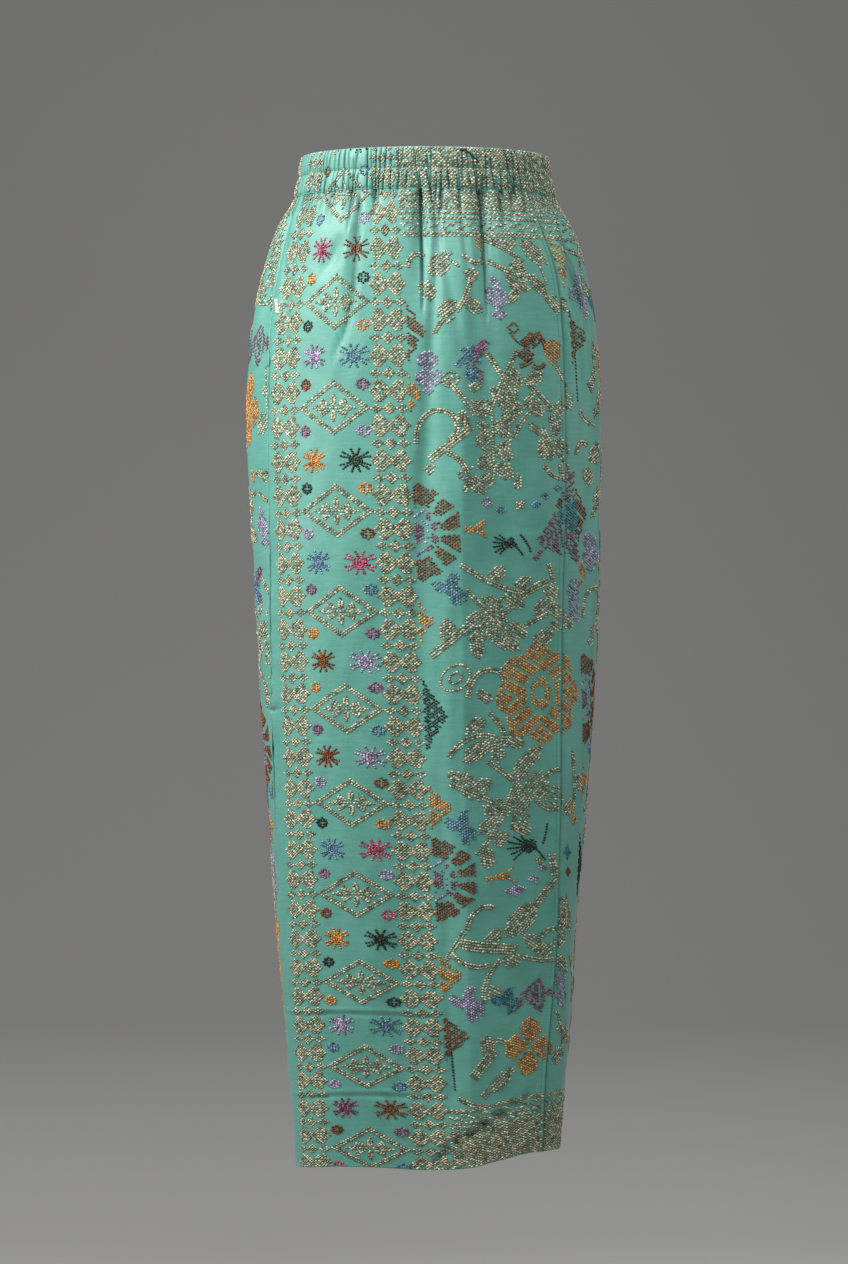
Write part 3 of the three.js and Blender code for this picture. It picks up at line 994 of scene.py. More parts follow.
@cache
def band_cloth():
    levels = BAND_LEVELS
    share = np.arange(BAND_COLUMNS) / BAND_COLUMNS
    girths = np.array([girth_at(z) for z in levels])[:, None]
    rounds = girths * share + CASING_START * girths / girth_at(BAND_BOTTOM)
    stations = np.broadcast_to(girth_at(BAND_BOTTOM) * share + CASING_START, rounds.shape)
    out = read_chart(BAND_PROFILE, "out", levels)[:, None]
    depth = read_chart(BAND_PROFILE, "gather", levels)[:, None]
    gathers, shade = gather_relief(levels, stations, BAND_NARROWEST)
    folds = fold_relief(np.full(len(levels), BAND_BOTTOM - 1.0), stations)
    relief = out + 0.5 + depth * gathers + 0.85 * folds * smooth((-1 - levels) / 19)[:, None]
    for line in STITCH_LEVELS:
        relief -= dip(levels[:, None] - line, CASING_DIP)
    return Cloth(levels, rounds, relief, shade, loop=True)


# ---- meshes ----


# How far the cloth's coordinates start from the edge of its unit square.
UV_MARGIN = 0.004


def new_mesh(name, points, faces, material, weave=None, uv=None, tint=None, **values):
    """A smooth mesh from arrays. faces is a list of arrays of corners, one array for each face size."""
    mesh = bpy.data.meshes.new(name)
    mesh.vertices.add(len(points))
    mesh.vertices.foreach_set("co", np.asarray(points, np.float32).ravel())
    corners = np.concatenate([block.ravel() for block in faces]).astype(np.int32)
    lengths = np.concatenate([np.full(len(block), block.shape[1]) for block in faces])
    starts = np.concatenate(([0], np.cumsum(lengths)[:-1])).astype(np.int32)
    mesh.loops.add(len(corners))
    mesh.loops.foreach_set("vertex_index", corners)
    mesh.polygons.add(len(lengths))
    mesh.polygons.foreach_set("loop_start", starts)
    mesh.update(calc_edges=True)
    mesh.shade_smooth()
    if weave is not None:
        layer = mesh.attributes.new("weave", "FLOAT_VECTOR", "POINT")
        layer.data.foreach_set("vector", np.asarray(weave, np.float32).ravel())
    if tint is not None:
        layer = mesh.color_attributes.new("thread", "FLOAT_COLOR", "POINT")
        layer.data.foreach_set("color", np.asarray(tint, np.float32).ravel())
    for label, numbers in values.items():
        layer = mesh.attributes.new(label, "FLOAT", "POINT")
        layer.data.foreach_set("value", np.asarray(numbers, np.float32).ravel())
    if uv is not None:
        layer = mesh.uv_layers.new(name="cloth")
        layer.uv.foreach_set("vector", np.asarray(uv, np.float32)[corners].ravel())
    mesh.materials.append(material)
    if mesh.validate():
        raise RuntimeError(f"{name} has faulty faces")
    piece = bpy.data.objects.new(name, mesh)
    bpy.context.scene.collection.objects.link(piece)
    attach(piece, "root")
    return piece


def wall_faces(rows, columns, loop):
    """Quads of a closed wall whose outer grid comes before its inner one."""
    r, c = np.meshgrid(np.arange(rows - 1), np.arange(columns if loop else columns - 1), indexing="ij")
    r, c = r.ravel(), c.ravel()
    n = (c + 1) % columns
    size = rows * columns

    def at(side, row, column):
        return side * size + row * columns + column

    outer = np.stack((at(0, r, c), at(0, r + 1, c), at(0, r + 1, n), at(0, r, n)), 1)
    inner = np.stack((at(1, r, c), at(1, r, n), at(1, r + 1, n), at(1, r + 1, c)), 1)
    c = np.arange(columns if loop else columns - 1)
    n = (c + 1) % columns
    end = rows - 1
    top = np.stack((at(1, 0, c), at(0, 0, c), at(0, 0, n), at(1, 0, n)), 1)
    bottom = np.stack((at(0, end, c), at(1, end, c), at(1, end, n), at(0, end, n)), 1)
    blocks = [outer, inner, top, bottom]
    if not loop:
        r, last = np.arange(rows - 1), columns - 1
        blocks.append(np.stack((at(1, r, 0), at(1, r + 1, 0), at(0, r + 1, 0), at(0, r, 0)), 1))
        blocks.append(np.stack((at(0, r, last), at(0, r + 1, last), at(1, r + 1, last), at(1, r, last)), 1))
    return [np.concatenate(blocks)]


def wall_mesh(name, cloth, wall, material, uv_scale, uv_gap):
    """A thin closed shell on a grid of cloth, with its weave's coordinates."""
    rows, columns = cloth.rounds.shape
    outer = cloth.points.reshape(-1, 3)
    inner = (cloth.points - cloth.normals * wall).reshape(-1, 3)
    across = cloth.rounds - cloth.rounds.min()
    up = np.broadcast_to((cloth.levels - HEM_LEVEL)[:, None], cloth.rounds.shape)
    flat = np.stack((across, up, np.zeros_like(across)), -1).reshape(-1, 3) * MM
    weave = np.concatenate((flat, flat + (0, 0, 0.01)))
    spread = flat[:, :2] * uv_scale
    if cloth.loop:
        spread = spread - (0, (BAND_BOTTOM - HEM_LEVEL) * MM * uv_scale)
    uv = np.concatenate((spread, spread + uv_gap)) + UV_MARGIN
    # The inner face of the wall takes a little painted shade.
    shade = np.concatenate((cloth.shade, np.full_like(cloth.shade, 0.3)))
    faces = wall_faces(rows, columns, cloth.loop)
    return new_mesh(name, np.concatenate((outer, inner)), faces, material, weave, uv, shade=shade)


# ---- the weaving ----


def row_level(row):
    """Level of a row of weaving. The rows lie closer towards the hem."""
    turn = np.asarray(row, float) / LOZENGE_ROWS
    return ROW_TOP - LOZENGE_DROP * turn + LOZENGE_EASE * turn**2


def step_round(step, level):
    """Round of a half step of the weaving, on the front strip, the field or the back."""
    strip_step = read_chart(STRIP, "half_step", level)
    middle = read_chart(STRIP, "middle", level)
    place = middle + (step - STRIP_MIDDLE) * strip_step
    edge = middle + STRIP_MIDDLE * strip_step
    front_step = read_chart(STEPS, "front", level)
    back_step = read_chart(STEPS, "back", level)
    tuck = read_chart(LINES, "tuck", level)
    field = edge + (step - STRIP_STEPS) * front_step
    at_tuck = STRIP_STEPS + (tuck - edge) / front_step
    behind = tuck + (step - at_tuck) * back_step
    place = np.where(step > STRIP_STEPS, field, place)
    return np.where(place > tuck, behind, place)


def stem_points(across, down, heading, length, curl, parts=14):
    """A stem that curls evenly, tighter towards its end: its points and its heading at each."""
    share = np.linspace(0, 1, parts + 1)
    turn = np.radians(heading + curl * share**1.5)
    step = length / parts
    xs = across + np.concatenate(([0], np.cumsum(np.cos(turn[:-1]) * step)))
    ys = down + np.concatenate(([0], np.cumsum(np.sin(turn[:-1]) * step)))
    return np.stack((xs, ys), 1), turn


# Outlines of the plain motifs, below 1 inside: u runs along the motif and v across, each 1 at its edge.
OUTLINES = {
    "oval": np.hypot,
    "diamond": lambda u, v: np.abs(u) + np.abs(v),
    "leaf": lambda u, v: np.abs(v) + u**2,
    "half": lambda u, v: np.abs(u) + 0.9 * np.abs(v) + 0.07 * np.cos(13 * v),
    "kite": lambda u, v: np.where(u >= 0, np.abs(u) + np.abs(v), 1),
}
# How far each strand of a gold shape reaches, as a share of half its length, at -1 to 1 across it.
REACHES = {
    "leaf": lambda v: (1 - abs(v)) ** 0.42,
    "oval": lambda v: math.sqrt(1 - v * v),
    "diamond": lambda v: 1 - abs(v),
}


class Field:
    """One repeat of the field: which thread floats over each half step of each row, and its strands."""

    def __init__(self):
        self.rows = np.arange(FIRST_ROW, LAST_ROW + 1)
        row, step = np.meshgrid(self.rows, np.arange(FIELD_STEPS), indexing="ij")
        self.row, self.step = row, step
        self.across = step * HALF_STEP
        self.down = -row_level(row)
        self.thread = np.full(row.shape, ".", "<U1")
        self.strung = []

    def turned(self, x, down, tilt):
        """Places seen from a motif's middle, turned to lie along it."""
        angle = math.radians(tilt)
        dx, dy = self.across - x, down - self.down
        return dx * math.cos(angle) + dy * math.sin(angle), dy * math.cos(angle) - dx * math.sin(angle)

    def lay(self, where, thread):
        self.thread[where] = thread

    def strand(self, points, thread):
        """One strand of floats, evenly along a line of points."""
        points = np.asarray(points, float)
        lengths = np.concatenate(([0], np.cumsum(np.hypot(*np.diff(points, axis=0).T))))
        at = np.arange(0.3 * FLOAT_PITCH, lengths[-1], FLOAT_PITCH)
        x, y = np.interp(at, lengths, points[:, 0]), np.interp(at, lengths, points[:, 1])
        way = np.gradient(points, axis=0)
        heading = np.arctan2(np.interp(at, lengths, way[:, 1]), np.interp(at, lengths, way[:, 0]))
        lean = np.arctan(np.tan(heading)) / math.radians(LATTICE_ANGLE)
        self.strung.extend((thread, *spot) for spot in zip(x, y, np.clip(lean, -1, 1)))

    def stem(self, across, down, heading, length, curl, strands, leaves, thread="g"):
        points, turns = stem_points(across, down, heading, length, curl)
        sides = np.stack((-np.sin(turns), np.cos(turns)), 1)
        for n in range(int(strands)):
            self.strand(points + sides * (n - (strands - 1) / 2) * STRAND_PITCH, thread)
        for leaf in range(int(leaves)):
            place = round((leaf + 1) / (leaves + 0.4) * (len(points) - 1))
            x, y = points[place]
            aim = turns[place] + math.radians(LEAF_ANGLE) * (1 if leaf % 2 else -1)
            middle = x + math.cos(aim) * LEAF_LENGTH / 2, y + math.sin(aim) * LEAF_LENGTH / 2
            tilt = -math.degrees(math.atan(math.tan(aim)))
            self.patch("leaf", "g", "full", *middle, LEAF_LENGTH, LEAF_WIDTH, tilt)

    def strands_patch(self, shape, filling, x, down, wide, tall, tilt):
        """A gold shape of parallel strands, which lie along a diagonal of the weave."""
        if abs(tilt) < 80:
            tilt = math.copysign(LATTICE_ANGLE, tilt)
        way = np.array((math.cos(math.radians(tilt)), -math.sin(math.radians(tilt))))
        side = np.array((-way[1], way[0]))
        middle = np.array((x, down), float)
        if filling == "ring":
            turn = np.linspace(0, 2 * np.pi, 33)[:, None]
            for size in (1, 0.42):
                self.strand(middle + size * (way * np.cos(turn) * wide + side * np.sin(turn) * tall) / 2, "g")
            return
        count = max(2, round(tall / STRAND_PITCH))
        for n in range(count):
            v = (2 * n + 1) / count - 1
            ends = np.array((-1, 1))[:, None] * REACHES[shape](v) * wide / 2
            self.strand(middle + side * v * tall / 2 + way * (ends + STRAND_STAGGER * (n % 2)), "g")

    def patch(self, shape, thread, filling, x, down, wide, tall, tilt=0):
        """One motif: parallel strands where it is gold, otherwise a filled outline or a small figure."""
        if thread == "g":
            self.strands_patch(shape, filling, x, down, wide, tall, tilt)
            return
        if shape == "bud":
            self.bud(thread, x, down, wide, tall, tilt)
            return
        u, v = self.turned(x, down, tilt)
        u, v = 2 * u / wide, 2 * v / tall
        if shape in OUTLINES:
            self.fill(OUTLINES[shape](u, v), thread, filling)
        elif shape == "fan":
            self.fan(thread, u, v, wide)
        elif shape == "shell":
            self.shell(thread, filling, u, v, tall)
        elif shape == "blossom":
            self.blossom(thread, filling, u, v)
        else:
            {"arrow": self.arrow, "bird": self.bird, "medallion": self.medallion}[shape](thread, u, v)

    def fill(self, edge, thread, filling):
        """Lays a shape's floats: full, outlined, with bare diagonals, or with a net of bare cells."""
        inside = edge < 1
        if filling == "ring":
            inside = inside & (edge > 0.45)
        elif filling == "rows":
            inside = inside & (((self.row - self.step) % 10 != 0) | (edge > 0.86))
        elif filling == "net":
            inside = inside & (((self.row - self.step) % 6 != 0) | ((self.row + self.step) % 6 != 0))
        self.lay(inside, thread)

    def arrow(self, thread, u, v):
        """A small dart: a point on the left and two barbs on the right."""
        barbs = (u >= 0) & (u < 1) & (np.abs(v) < 0.25 + 0.75 * u) & (np.abs(v) > 1.6 * u - 0.9)
        self.lay(((u > -1) & (u < 0.1) & (np.abs(v) < 0.24)) | barbs, thread)

    def bud(self, thread, x, down, wide, tall, tilt):
        """A bud on a thin bent stem, with its petals as single strands of floats."""
        for n in range(BUD_STRANDS):
            share = n / (BUD_STRANDS - 1)
            aim = math.radians(180 - tilt + 44 * (2 * share - 1))
            reach = wide * (0.62 - 0.14 * abs(2 * share - 1))
            away = np.array((0.06, 0.35, 0.7, 1))[:, None] * reach
            self.strand(np.array((x, down)) + away * (math.cos(aim), math.sin(aim)), thread)
        self.lay(np.hypot((self.across - x - 1) / 0.2 / wide, (self.down - down) / 0.2 / tall) < 1, thread)
        bend = np.linspace(0, 1, 8)[:, None]
        out = np.array((x, down)) + bend * (0.42 * wide, 0.06 * tall) + bend**2 * (0.02 * wide, 0.42 * tall)
        self.strand(out, thread)

    def fan(self, thread, u, v, wide):
        """A striped fan that opens to the right from a thin stem."""
        x, y = u + 0.8, v
        turn, far = np.arctan2(y, x), np.hypot(x, y)
        stripes = (far * wide / 2 % 6 > 1.7) | (np.abs(turn) > 0.5)
        self.lay((np.abs(turn) < 0.62) & (far < 1.75) & (far > 0.25) & stripes, thread)
        self.lay((x < 0.3) & (x > -0.2) & (np.abs(y + 0.55 - 0.9 * x) < 0.13), thread)

    def bird(self, thread, u, v):
        """A bird on the wing: a slanting body, two broad wings, a beak and a tail."""
        body = (np.abs(v + 0.35 * u) < 0.3) & (np.abs(u) < 0.85)
        wing = (v > 0) & (v < 0.96) & (np.abs(u - 0.35 * v) < 0.46 - 0.2 * v)
        far_wing = (v < 0) & (v > -0.96) & (np.abs(u + 0.15 * v - 0.2) < 0.36 + 0.14 * v)
        beak = (u < -0.7) & (u > -1) & (np.abs(v - 0.3) < 0.5 * (u + 1.1))
        tail = (u > 0.7) & (u < 1) & (np.abs(v + 0.4) < 0.34)
        self.lay(body | wing | far_wing | beak | tail, thread)

    def shell(self, thread, filling, u, v, tall):
        """Striped arcs above and below a patch of another colour."""
        far = np.hypot(u, np.abs(v) - 0.42) * 1.6
        arcs = (far < 1) & ((far * tall / 3.2 % 6 > 1.6) | (far > 0.86))
        self.lay(arcs, thread)
        if filling == "rows":
            self.lay(np.hypot(u / 0.9, v / 0.36) < 1, "t")

    def medallion(self, thread, u, v):
        """Half a wheel: petals round a ring of dots, and a core."""
        turn, far = np.arctan2(v, u), np.hypot(u, v)
        half = (u >= 0) & (far > 0.54) & (np.abs(v) + 0.42 * u < 1)
        petals = half & (far < 1.02 - 0.1 * np.abs(np.cos(turn * 3.6)))
        for angle in MEDALLION_GAPS:
            petals &= np.abs(turn - math.radians(angle)) * far > 0.055
        self.lay(petals, thread)
        ring = (far < 0.49) & (far > 0.36) & (np.abs(np.sin(turn * 5.4)) > 0.45)
        self.lay(ring & (np.abs(turn) < 0.95), "m")
        self.lay((far < 0.5) & (far > 0.26) & (np.abs(turn) > 0.95) & ((self.row + self.step) % 6 == 0), "l")
        self.lay((far < 0.3) & (far > 0.24) & (np.abs(turn) < 1) & ((self.row - self.step) % 4 == 0), "l")
        self.lay(far < 0.2, "p")

    def blossom(self, thread, filling, u, v):
        """A round flower: four petals, or a scalloped disc with diagonals, a ring and a core left bare."""
        turn, far = np.arctan2(v, u), np.hypot(u, v)
        if filling == "petals":
            lobes = 0.6 + 0.4 * np.abs(np.cos(2 * turn + 0.3))
            self.lay((far < lobes) & (far > 0.1) & (np.abs(np.cos(2 * turn + 0.3)) > 0.25), thread)
            return
        lobes = 0.84 + 0.16 * np.abs(np.cos(4 * turn))
        slant = self.row - np.where(v * u > 0, -1, 1) * self.step
        self.lay((far < lobes) & ((slant % 10 != 0) | (far > lobes - 0.1)), thread)
        core = np.hypot(u / 0.26, v / 0.34)
        self.lay((core < 1.3) & (core > 0.95), ".")
        self.lay(core < 0.42, ".")

    def border(self, first, last, edge):
        """A border: a dense band, two thin lines, a twisted rope and a thick line, from its edge inwards."""
        inwards = (self.row - first) if edge < 0 else (last - self.row)
        inside = (self.row >= first) & (self.row <= last)
        self.thread[inside] = "."
        depth = last - first
        dense = inside & (inwards < depth - 15)
        patchy = waver(self.step * 3.1 + self.row * 1.7, 61, 17) + waver(self.row * 2.3 - self.step, 62, 11)
        self.lay(dense & (patchy > -1.05), "g")
        for start, stop in ((depth - 14, depth - 12), (depth - 11, depth - 9), (depth - 2, depth + 1)):
            self.lay(inside & (inwards >= start) & (inwards < stop), "g")
        rope = (self.step + inwards * 2) % 8 < 4
        self.lay(inside & (inwards >= depth - 8) & (inwards < depth - 3) & rope, "g")

    def clear_strands(self):
        """The strands' floats that clear each other and the silk shapes: thread, row, half step and lean."""
        kept, taken = [], {}
        downs = -row_level(self.rows)
        for thread, x, down, lean in self.strung:
            step, row = x / HALF_STEP, float(np.interp(down, downs, self.rows))
            inside = 0 <= step < FIELD_STEPS - 0.5 and TOP_BORDER_END + 1 < row < HEM_BORDER_START - 1
            if not inside or (thread == "g" and self.thread[round(row) - FIRST_ROW, int(step)] != "."):
                continue
            cell = int(x // FLOAT_PITCH), int(down // FLOAT_PITCH)
            around = [(cell[0] + i, cell[1] + j) for i in (-1, 0, 1) for j in (-1, 0, 1)]
            near = [spot for place in around for spot in taken.get(place, ())]
            if all(math.hypot(x - a, down - b) > CLEAR_PITCH for a, b in near):
                taken.setdefault(cell, []).append((x, down))
                kept.append((thread, row, step, lean))
        return kept


def woven_field():
    field = Field()
    for thread, *stem in SILK_STEMS:
        field.stem(*stem, thread)
    for stem in zip(*STEMS.values()):
        field.stem(*stem)
    for kind, *places in PATCHES:
        for place in places:
            field.patch(*kind.split(), *place)
    field.border(FIRST_ROW, TOP_BORDER_END, -1)
    field.border(HEM_BORDER_START, LAST_ROW, 1)
    return field


def quarter(rows):
    """The quarter of a small motif given in rows from its middle, as half steps and rows."""
    return [(step, up) for up, steps in enumerate(rows) for step in steps]


def mirrored(spots):
    """All four quarters of a small motif."""
    return sorted({(side * step, down * up) for step, up in spots for side in (-1, 1) for down in (-1, 1)})


def column_pair():
    """A quarter of a column's pair of netted lobes, side by side: half steps and rows."""
    spots = []
    for up in range(8):
        for side in range((up + 1) % 2, 12, 2):
            step = side * COLUMN_PITCH / 2
            lobe = (abs(step - COLUMN_LOBE) / COLUMN_WIDE) ** 1.3 + (up / COLUMN_TALL) ** 1.3
            hole = (side - 5 + up) // 2 % 2 and (side - 5 - up) // 2 % 2
            if lobe < 1 and not (hole and lobe < 0.6):
                spots.append((step, up))
    return spots


def strip_floats():
    """The front strip's floats: thread, row, half step and lean of each, with fractions in its curves."""
    floats = []

    def set_motif(key, row, step, spots):
        floats.extend((key, row + up, step + side) for side, up in mirrored(spots))

    for first in np.arange(COLUMN_FIRST - COLUMN_ROWS, LAST_ROW + COLUMN_ROWS, COLUMN_ROWS):
        for edge in (0, STRIP_STEPS - COLUMN_STEPS):
            set_motif("g", first, edge + COLUMN_STEPS // 2, column_pair())
            for step, rows in COLUMN_PLACES:
                set_motif("g", first + COLUMN_ROWS / 2, edge + step, quarter(rows))
    for n, (upper, lower, star) in enumerate(LOZENGE_SILKS, -1):
        middle = n * LOZENGE_ROWS
        for size in LOZENGE_OUTLINES:
            set_motif("g", middle, STRIP_MIDDLE, [(size - up, up) for up in range(size + 1)])
        set_motif("g", middle, STRIP_MIDDLE, quarter(FLOWER))
        for half, (side, wide) in enumerate(((-1, LEFT_MOTIF), (1, 1))):
            motifs = (
                (star[half], 1, STAR_PLACE, STAR),
                (upper[half], -1, ROSETTE_PLACE, ROSETTE),
                (lower[half], 1, ROSETTE_PLACE, ROSETTE),
            )
            for key, way, (down, aside), motif in motifs:
                spots = [(wide * step, up) for step, up in motif]
                set_motif(key, middle + way * down, STRIP_MIDDLE + side * aside, spots)
    return [(key, row, step, 0) for key, row, step in floats if FIRST_ROW <= row <= LAST_ROW]


def field_floats():
    """The field's floats, repeated on round the back with the motifs shifted down in each repeat."""
    field = woven_field()
    on_loom = (field.row + field.step + STRIP_STEPS + 1) % 2 == 1
    unit = np.where(on_loom, field.thread, ".")
    first, span = TOP_BORDER_END + 1, HEM_BORDER_START - TOP_BORDER_END - 1
    middle = slice(first - FIRST_ROW, HEM_BORDER_START - FIRST_ROW)
    strands = field.clear_strands()
    floats = []
    for repeat in range(FIELD_REPEATS):
        start = STRIP_STEPS + 1 + repeat * FIELD_STEPS
        shift = FIELD_SHIFT * (repeat % 2) + PAIR_SHIFT * (repeat // 2)
        thread = unit.copy()
        thread[middle] = np.roll(unit[middle], shift, 0)
        r, step = np.nonzero(thread != ".")
        floats.extend(zip(thread[r, step], field.rows[r], step + start, np.zeros(len(r))))
        for key, row, step, lean in strands:
            floats.append((key, (row - first + shift) % span + first, step + start, lean))
    return floats


# The narrowest and widest half step that a float is cut to.
STEP_LIMITS = (1.2, 2.9)


@cache
def float_places():
    """Every float's thread, lean, round, level, step width and row height."""
    thread, row, step, lean = (np.array(values) for values in zip(*(strip_floats() + field_floats())))
    level = row_level(row)
    half = 0.5 * (step_round(step + 1.0, level) - step_round(step - 1.0, level))
    tall = row_level(row - 0.5) - row_level(row + 0.5)
    return thread, lean, step_round(step, level), level, np.clip(half, *STEP_LIMITS), tall


def linear(colour):
    """A colour given in 0 to 255 as the shader's own linear values."""
    c = np.asarray(colour, float) / 255
    return np.where(c <= 0.04045, c / 12.92, ((c + 0.055) / 1.055) ** 2.4)


# A float's base and ridge: along, up and out, in half lengths, half widths and heights.
SILK_FORM = np.array(((-1, 0, 0), (0, -1, 0), (1, 0, 0), (0, 1, 0), (-0.26, 0, 1), (0.26, 0, 1)), float)
SILK_FACES = (
    np.array(((0, 1, 4), (1, 5, 4), (1, 2, 5), (2, 3, 5), (3, 4, 5), (3, 0, 4))),
    np.array(((3, 2, 1, 0),)),
)
GOLD_FORM = np.array(
    ((-1, -0.8, 0), (1, -0.8, 0), (1, 0.8, 0), (-1, 0.8, 0), (-0.5, 0, 1), (0.5, 0, 1)), float
)
GOLD_FACES = (np.array(((1, 2, 5), (3, 0, 4))), np.array(((0, 1, 5, 4), (2, 3, 4, 5), (3, 2, 1, 0))))
# How far a float's base sinks into the cloth.
FLOAT_SINK = 0.06
GOLD_DULL = (136, 122, 84)
# Colours that a float's thread is times at its base, fading out up its flanks to the crest: painted shade
# between the floats.
GOLD_PAINTED_SHADE = (0.05, 0.05, 0.03)
SILK_PAINTED_SHADE = (0.14, 0.12, 0.12)
# How much of its cell of the weave a float covers, along and across, for gold and for silk.
FLOAT_COVER = {True: (0.68, 1.0), False: (0.9, 0.9)}
# Gold floats left of the centre front, where most of the front strip lies, have their size times this.
LEFT_FLOAT = 0.93
# How unevenly the floats lie: turn in radians, and drift along and across. Then how their sizes spread.
FLOAT_TURN = 0.26
FLOAT_DRIFT = (0.14, 0.12)
FLOAT_LENGTHS = (0.88, 1.06)
FLOAT_WIDTHS = (0.9, 1.08)
FLOAT_HEIGHTS = (0.8, 1.2)
# How clear floats keep of the casing, the seam, each side of the tuck's edge, the casing's edges and the hem.
BELOW_CASING = 1.2
SEAM_CLEAR = 2.4
TUCK_CLEAR = 1.9
LAP_CLEAR = 1.7
CASING_CLEAR = 0.6
HEM_CLEAR = 0.8
# Above this level no float shows at the bottom of a gather.
SUNK_ABOVE = 1.6 * BAND_BOTTOM
# How much the coordinates of each part's floats are scaled.
FLOAT_UV = {"front": 1, "back": 0.75, "band": 1}
# The shade at the bottom of a casing gather where no float shows.
GATHER_BOTTOM = 0.45
# How much a float is darkened with painted shade at the bottom of a gather or slit.
FLOAT_PAINTED_SHADE = 0.93


def part_floats(part, keys, cloth):
    """The floats of some threads on one part, as float_places gives them."""
    floats = float_places()
    thread, rounds, level = floats[0], floats[2], floats[3]
    tuck, seam = read_chart(LINES, "tuck", level), read_chart(LINES, "seam", level)
    marks = np.linspace(BAND_TOP, HEM_LEVEL, 200)
    girth = np.interp(-level, -marks, [girth_at(z) for z in marks])
    wanted = np.isin(thread, list(keys)) & (level > HEM_LEVEL + HEM_CLEAR)
    if part == "band":
        wanted &= (level > BAND_BOTTOM + CASING_CLEAR) & (level < BAND_TOP - CASING_CLEAR)
        wanted &= rounds < girth + seam
    else:
        wanted &= level < BAND_BOTTOM - BELOW_CASING
    if part == "front":
        wanted &= (rounds > seam + SEAM_CLEAR) & (rounds < tuck - TUCK_CLEAR)
    elif part == "back":
        wanted &= (rounds > tuck + LAP_CLEAR) & (rounds < girth + seam - SEAM_CLEAR)
    sunk = cloth.spot(*cloth.find(rounds[wanted], level[wanted]))[3] > GATHER_BOTTOM
    wanted[wanted] = ~(sunk & (level[wanted] > SUNK_ABOVE))
    return [values[wanted] for values in floats]


def float_tints(keys, thread, draw, deep):
    """Each float's colours: its thread's own, unevenly bright, and darkened with painted shade where it dips
    into a gather.
    """
    count = len(thread)
    shine = np.exp(draw.normal(-0.05, 0.46, count)).clip(0.3, 2)[:, None]
    colour = np.array([linear(THREADS[key]) for key in thread])
    if keys == "g":
        dull = draw.beta(1.2, 2.4, count)[:, None]
        colour = colour * (1 - dull) + linear(GOLD_DULL) * dull
    tint = np.ones((count, deep.shape[1], 4))
    tint[..., :3] = np.clip(colour * shine, 0, 1)[:, None] * (1 - FLOAT_PAINTED_SHADE * deep)
    return tint.reshape(-1, 4)


def float_mesh(name, part, keys, material):
    """The floats of some threads on one part of the skirt, as one joined mesh."""
    cloth = {"front": front_cloth, "back": back_cloth, "band": band_cloth}[part]()
    thread, lean, rounds, level, half, tall = part_floats(part, keys, cloth)
    place, out, along = cloth.spot(*cloth.find(rounds, level))[:3]
    up = np.cross(out, along)
    count = len(place)
    draw = np.random.default_rng(71)
    long, broad = FLOAT_COVER[keys == "g"]
    turn = draw.normal(0, FLOAT_TURN, count) - 0.5 * lean * np.arctan2(tall, half)
    size = np.where((rounds < 0) & (keys == "g"), LEFT_FLOAT, 1)
    length = size * long * half * draw.uniform(*FLOAT_LENGTHS, count)
    width = size * broad * tall * draw.uniform(*FLOAT_WIDTHS, count)
    height = sizes().float_height / MM * draw.uniform(*FLOAT_HEIGHTS, count)
    along, up = (
        along * np.cos(turn)[:, None] + up * np.sin(turn)[:, None],
        up * np.cos(turn)[:, None] - along * np.sin(turn)[:, None],
    )
    drift_along, drift_up = (draw.normal(0, drift, (count, 1)) for drift in FLOAT_DRIFT)
    place = place + (along * drift_along + up * drift_up) * MM
    form, form_faces = (GOLD_FORM, GOLD_FACES) if keys == "g" else (SILK_FORM, SILK_FACES)
    corners = len(form)
    points = (
        place[:, None]
        + along[:, None] * (length[:, None] * form[:, 0])[..., None] * MM
        + up[:, None] * (width[:, None] * form[:, 1])[..., None] * MM
        + out[:, None] * (height[:, None] * form[:, 2] - FLOAT_SINK)[..., None] * MM
    ).reshape(-1, 3)
    base = np.arange(count)[:, None, None] * corners
    faces = [(base + block).reshape(-1, block.shape[1]) for block in form_faces]
    ends = (rounds[:, None] + length[:, None] * form[:, 0]).ravel()
    # Painted shade: each corner of a float takes the cloth's shade at its place.
    deep = cloth.spot(*cloth.find(ends, np.repeat(level, corners)))[3].reshape(count, -1, 1)
    tint = float_tints(keys, thread, draw, deep)
    lift = np.broadcast_to(form[:, 2], (count, corners)).ravel()
    middle = np.stack((rounds - cloth.rounds.min(), level - HEM_LEVEL), -1)
    flat = middle[:, None] + form[:, :2] * np.stack((length, width), -1)[:, None]
    weave = np.concatenate((flat, np.zeros((count, corners, 1))), -1).reshape(-1, 3) * MM
    uv = weave[:, :2] * FLOAT_UV[part] + UV_MARGIN
    if part == "band":
        uv = uv - (0, (BAND_BOTTOM - HEM_LEVEL) * MM)
    return new_mesh(name, points, faces, material, weave, uv, tint, lift=lift)


# ---- stitches and loose threads ----

STITCH_SIDES = 6
MEND_ROUND = -157
MEND_TOP = -122
MEND_TALL = 14
MEND_PITCH = 1.3
MEND_SLANT = 0.3
# One darning stitch: its four points along the cloth, and how far each stands off it, in metres.
MEND_POINTS = np.array((-3, -1.2, 1.2, 3))
MEND_LIFTS = (0, 0.0005, 0.0005, 0)
# The stray thread's first round, how far round it reaches, and its first level.
STRAY_ROUND = 34
STRAY_REACH = 19
STRAY_LEVEL = 16.8
# Thicknesses and heights off the cloth, in metres.
SEWING_RADIUS = 0.00021
DARNING_RADIUS = 0.0006
CASING_STITCH_LIFT = 0.00028
TUCK_STITCH_LIFT = 0.0002


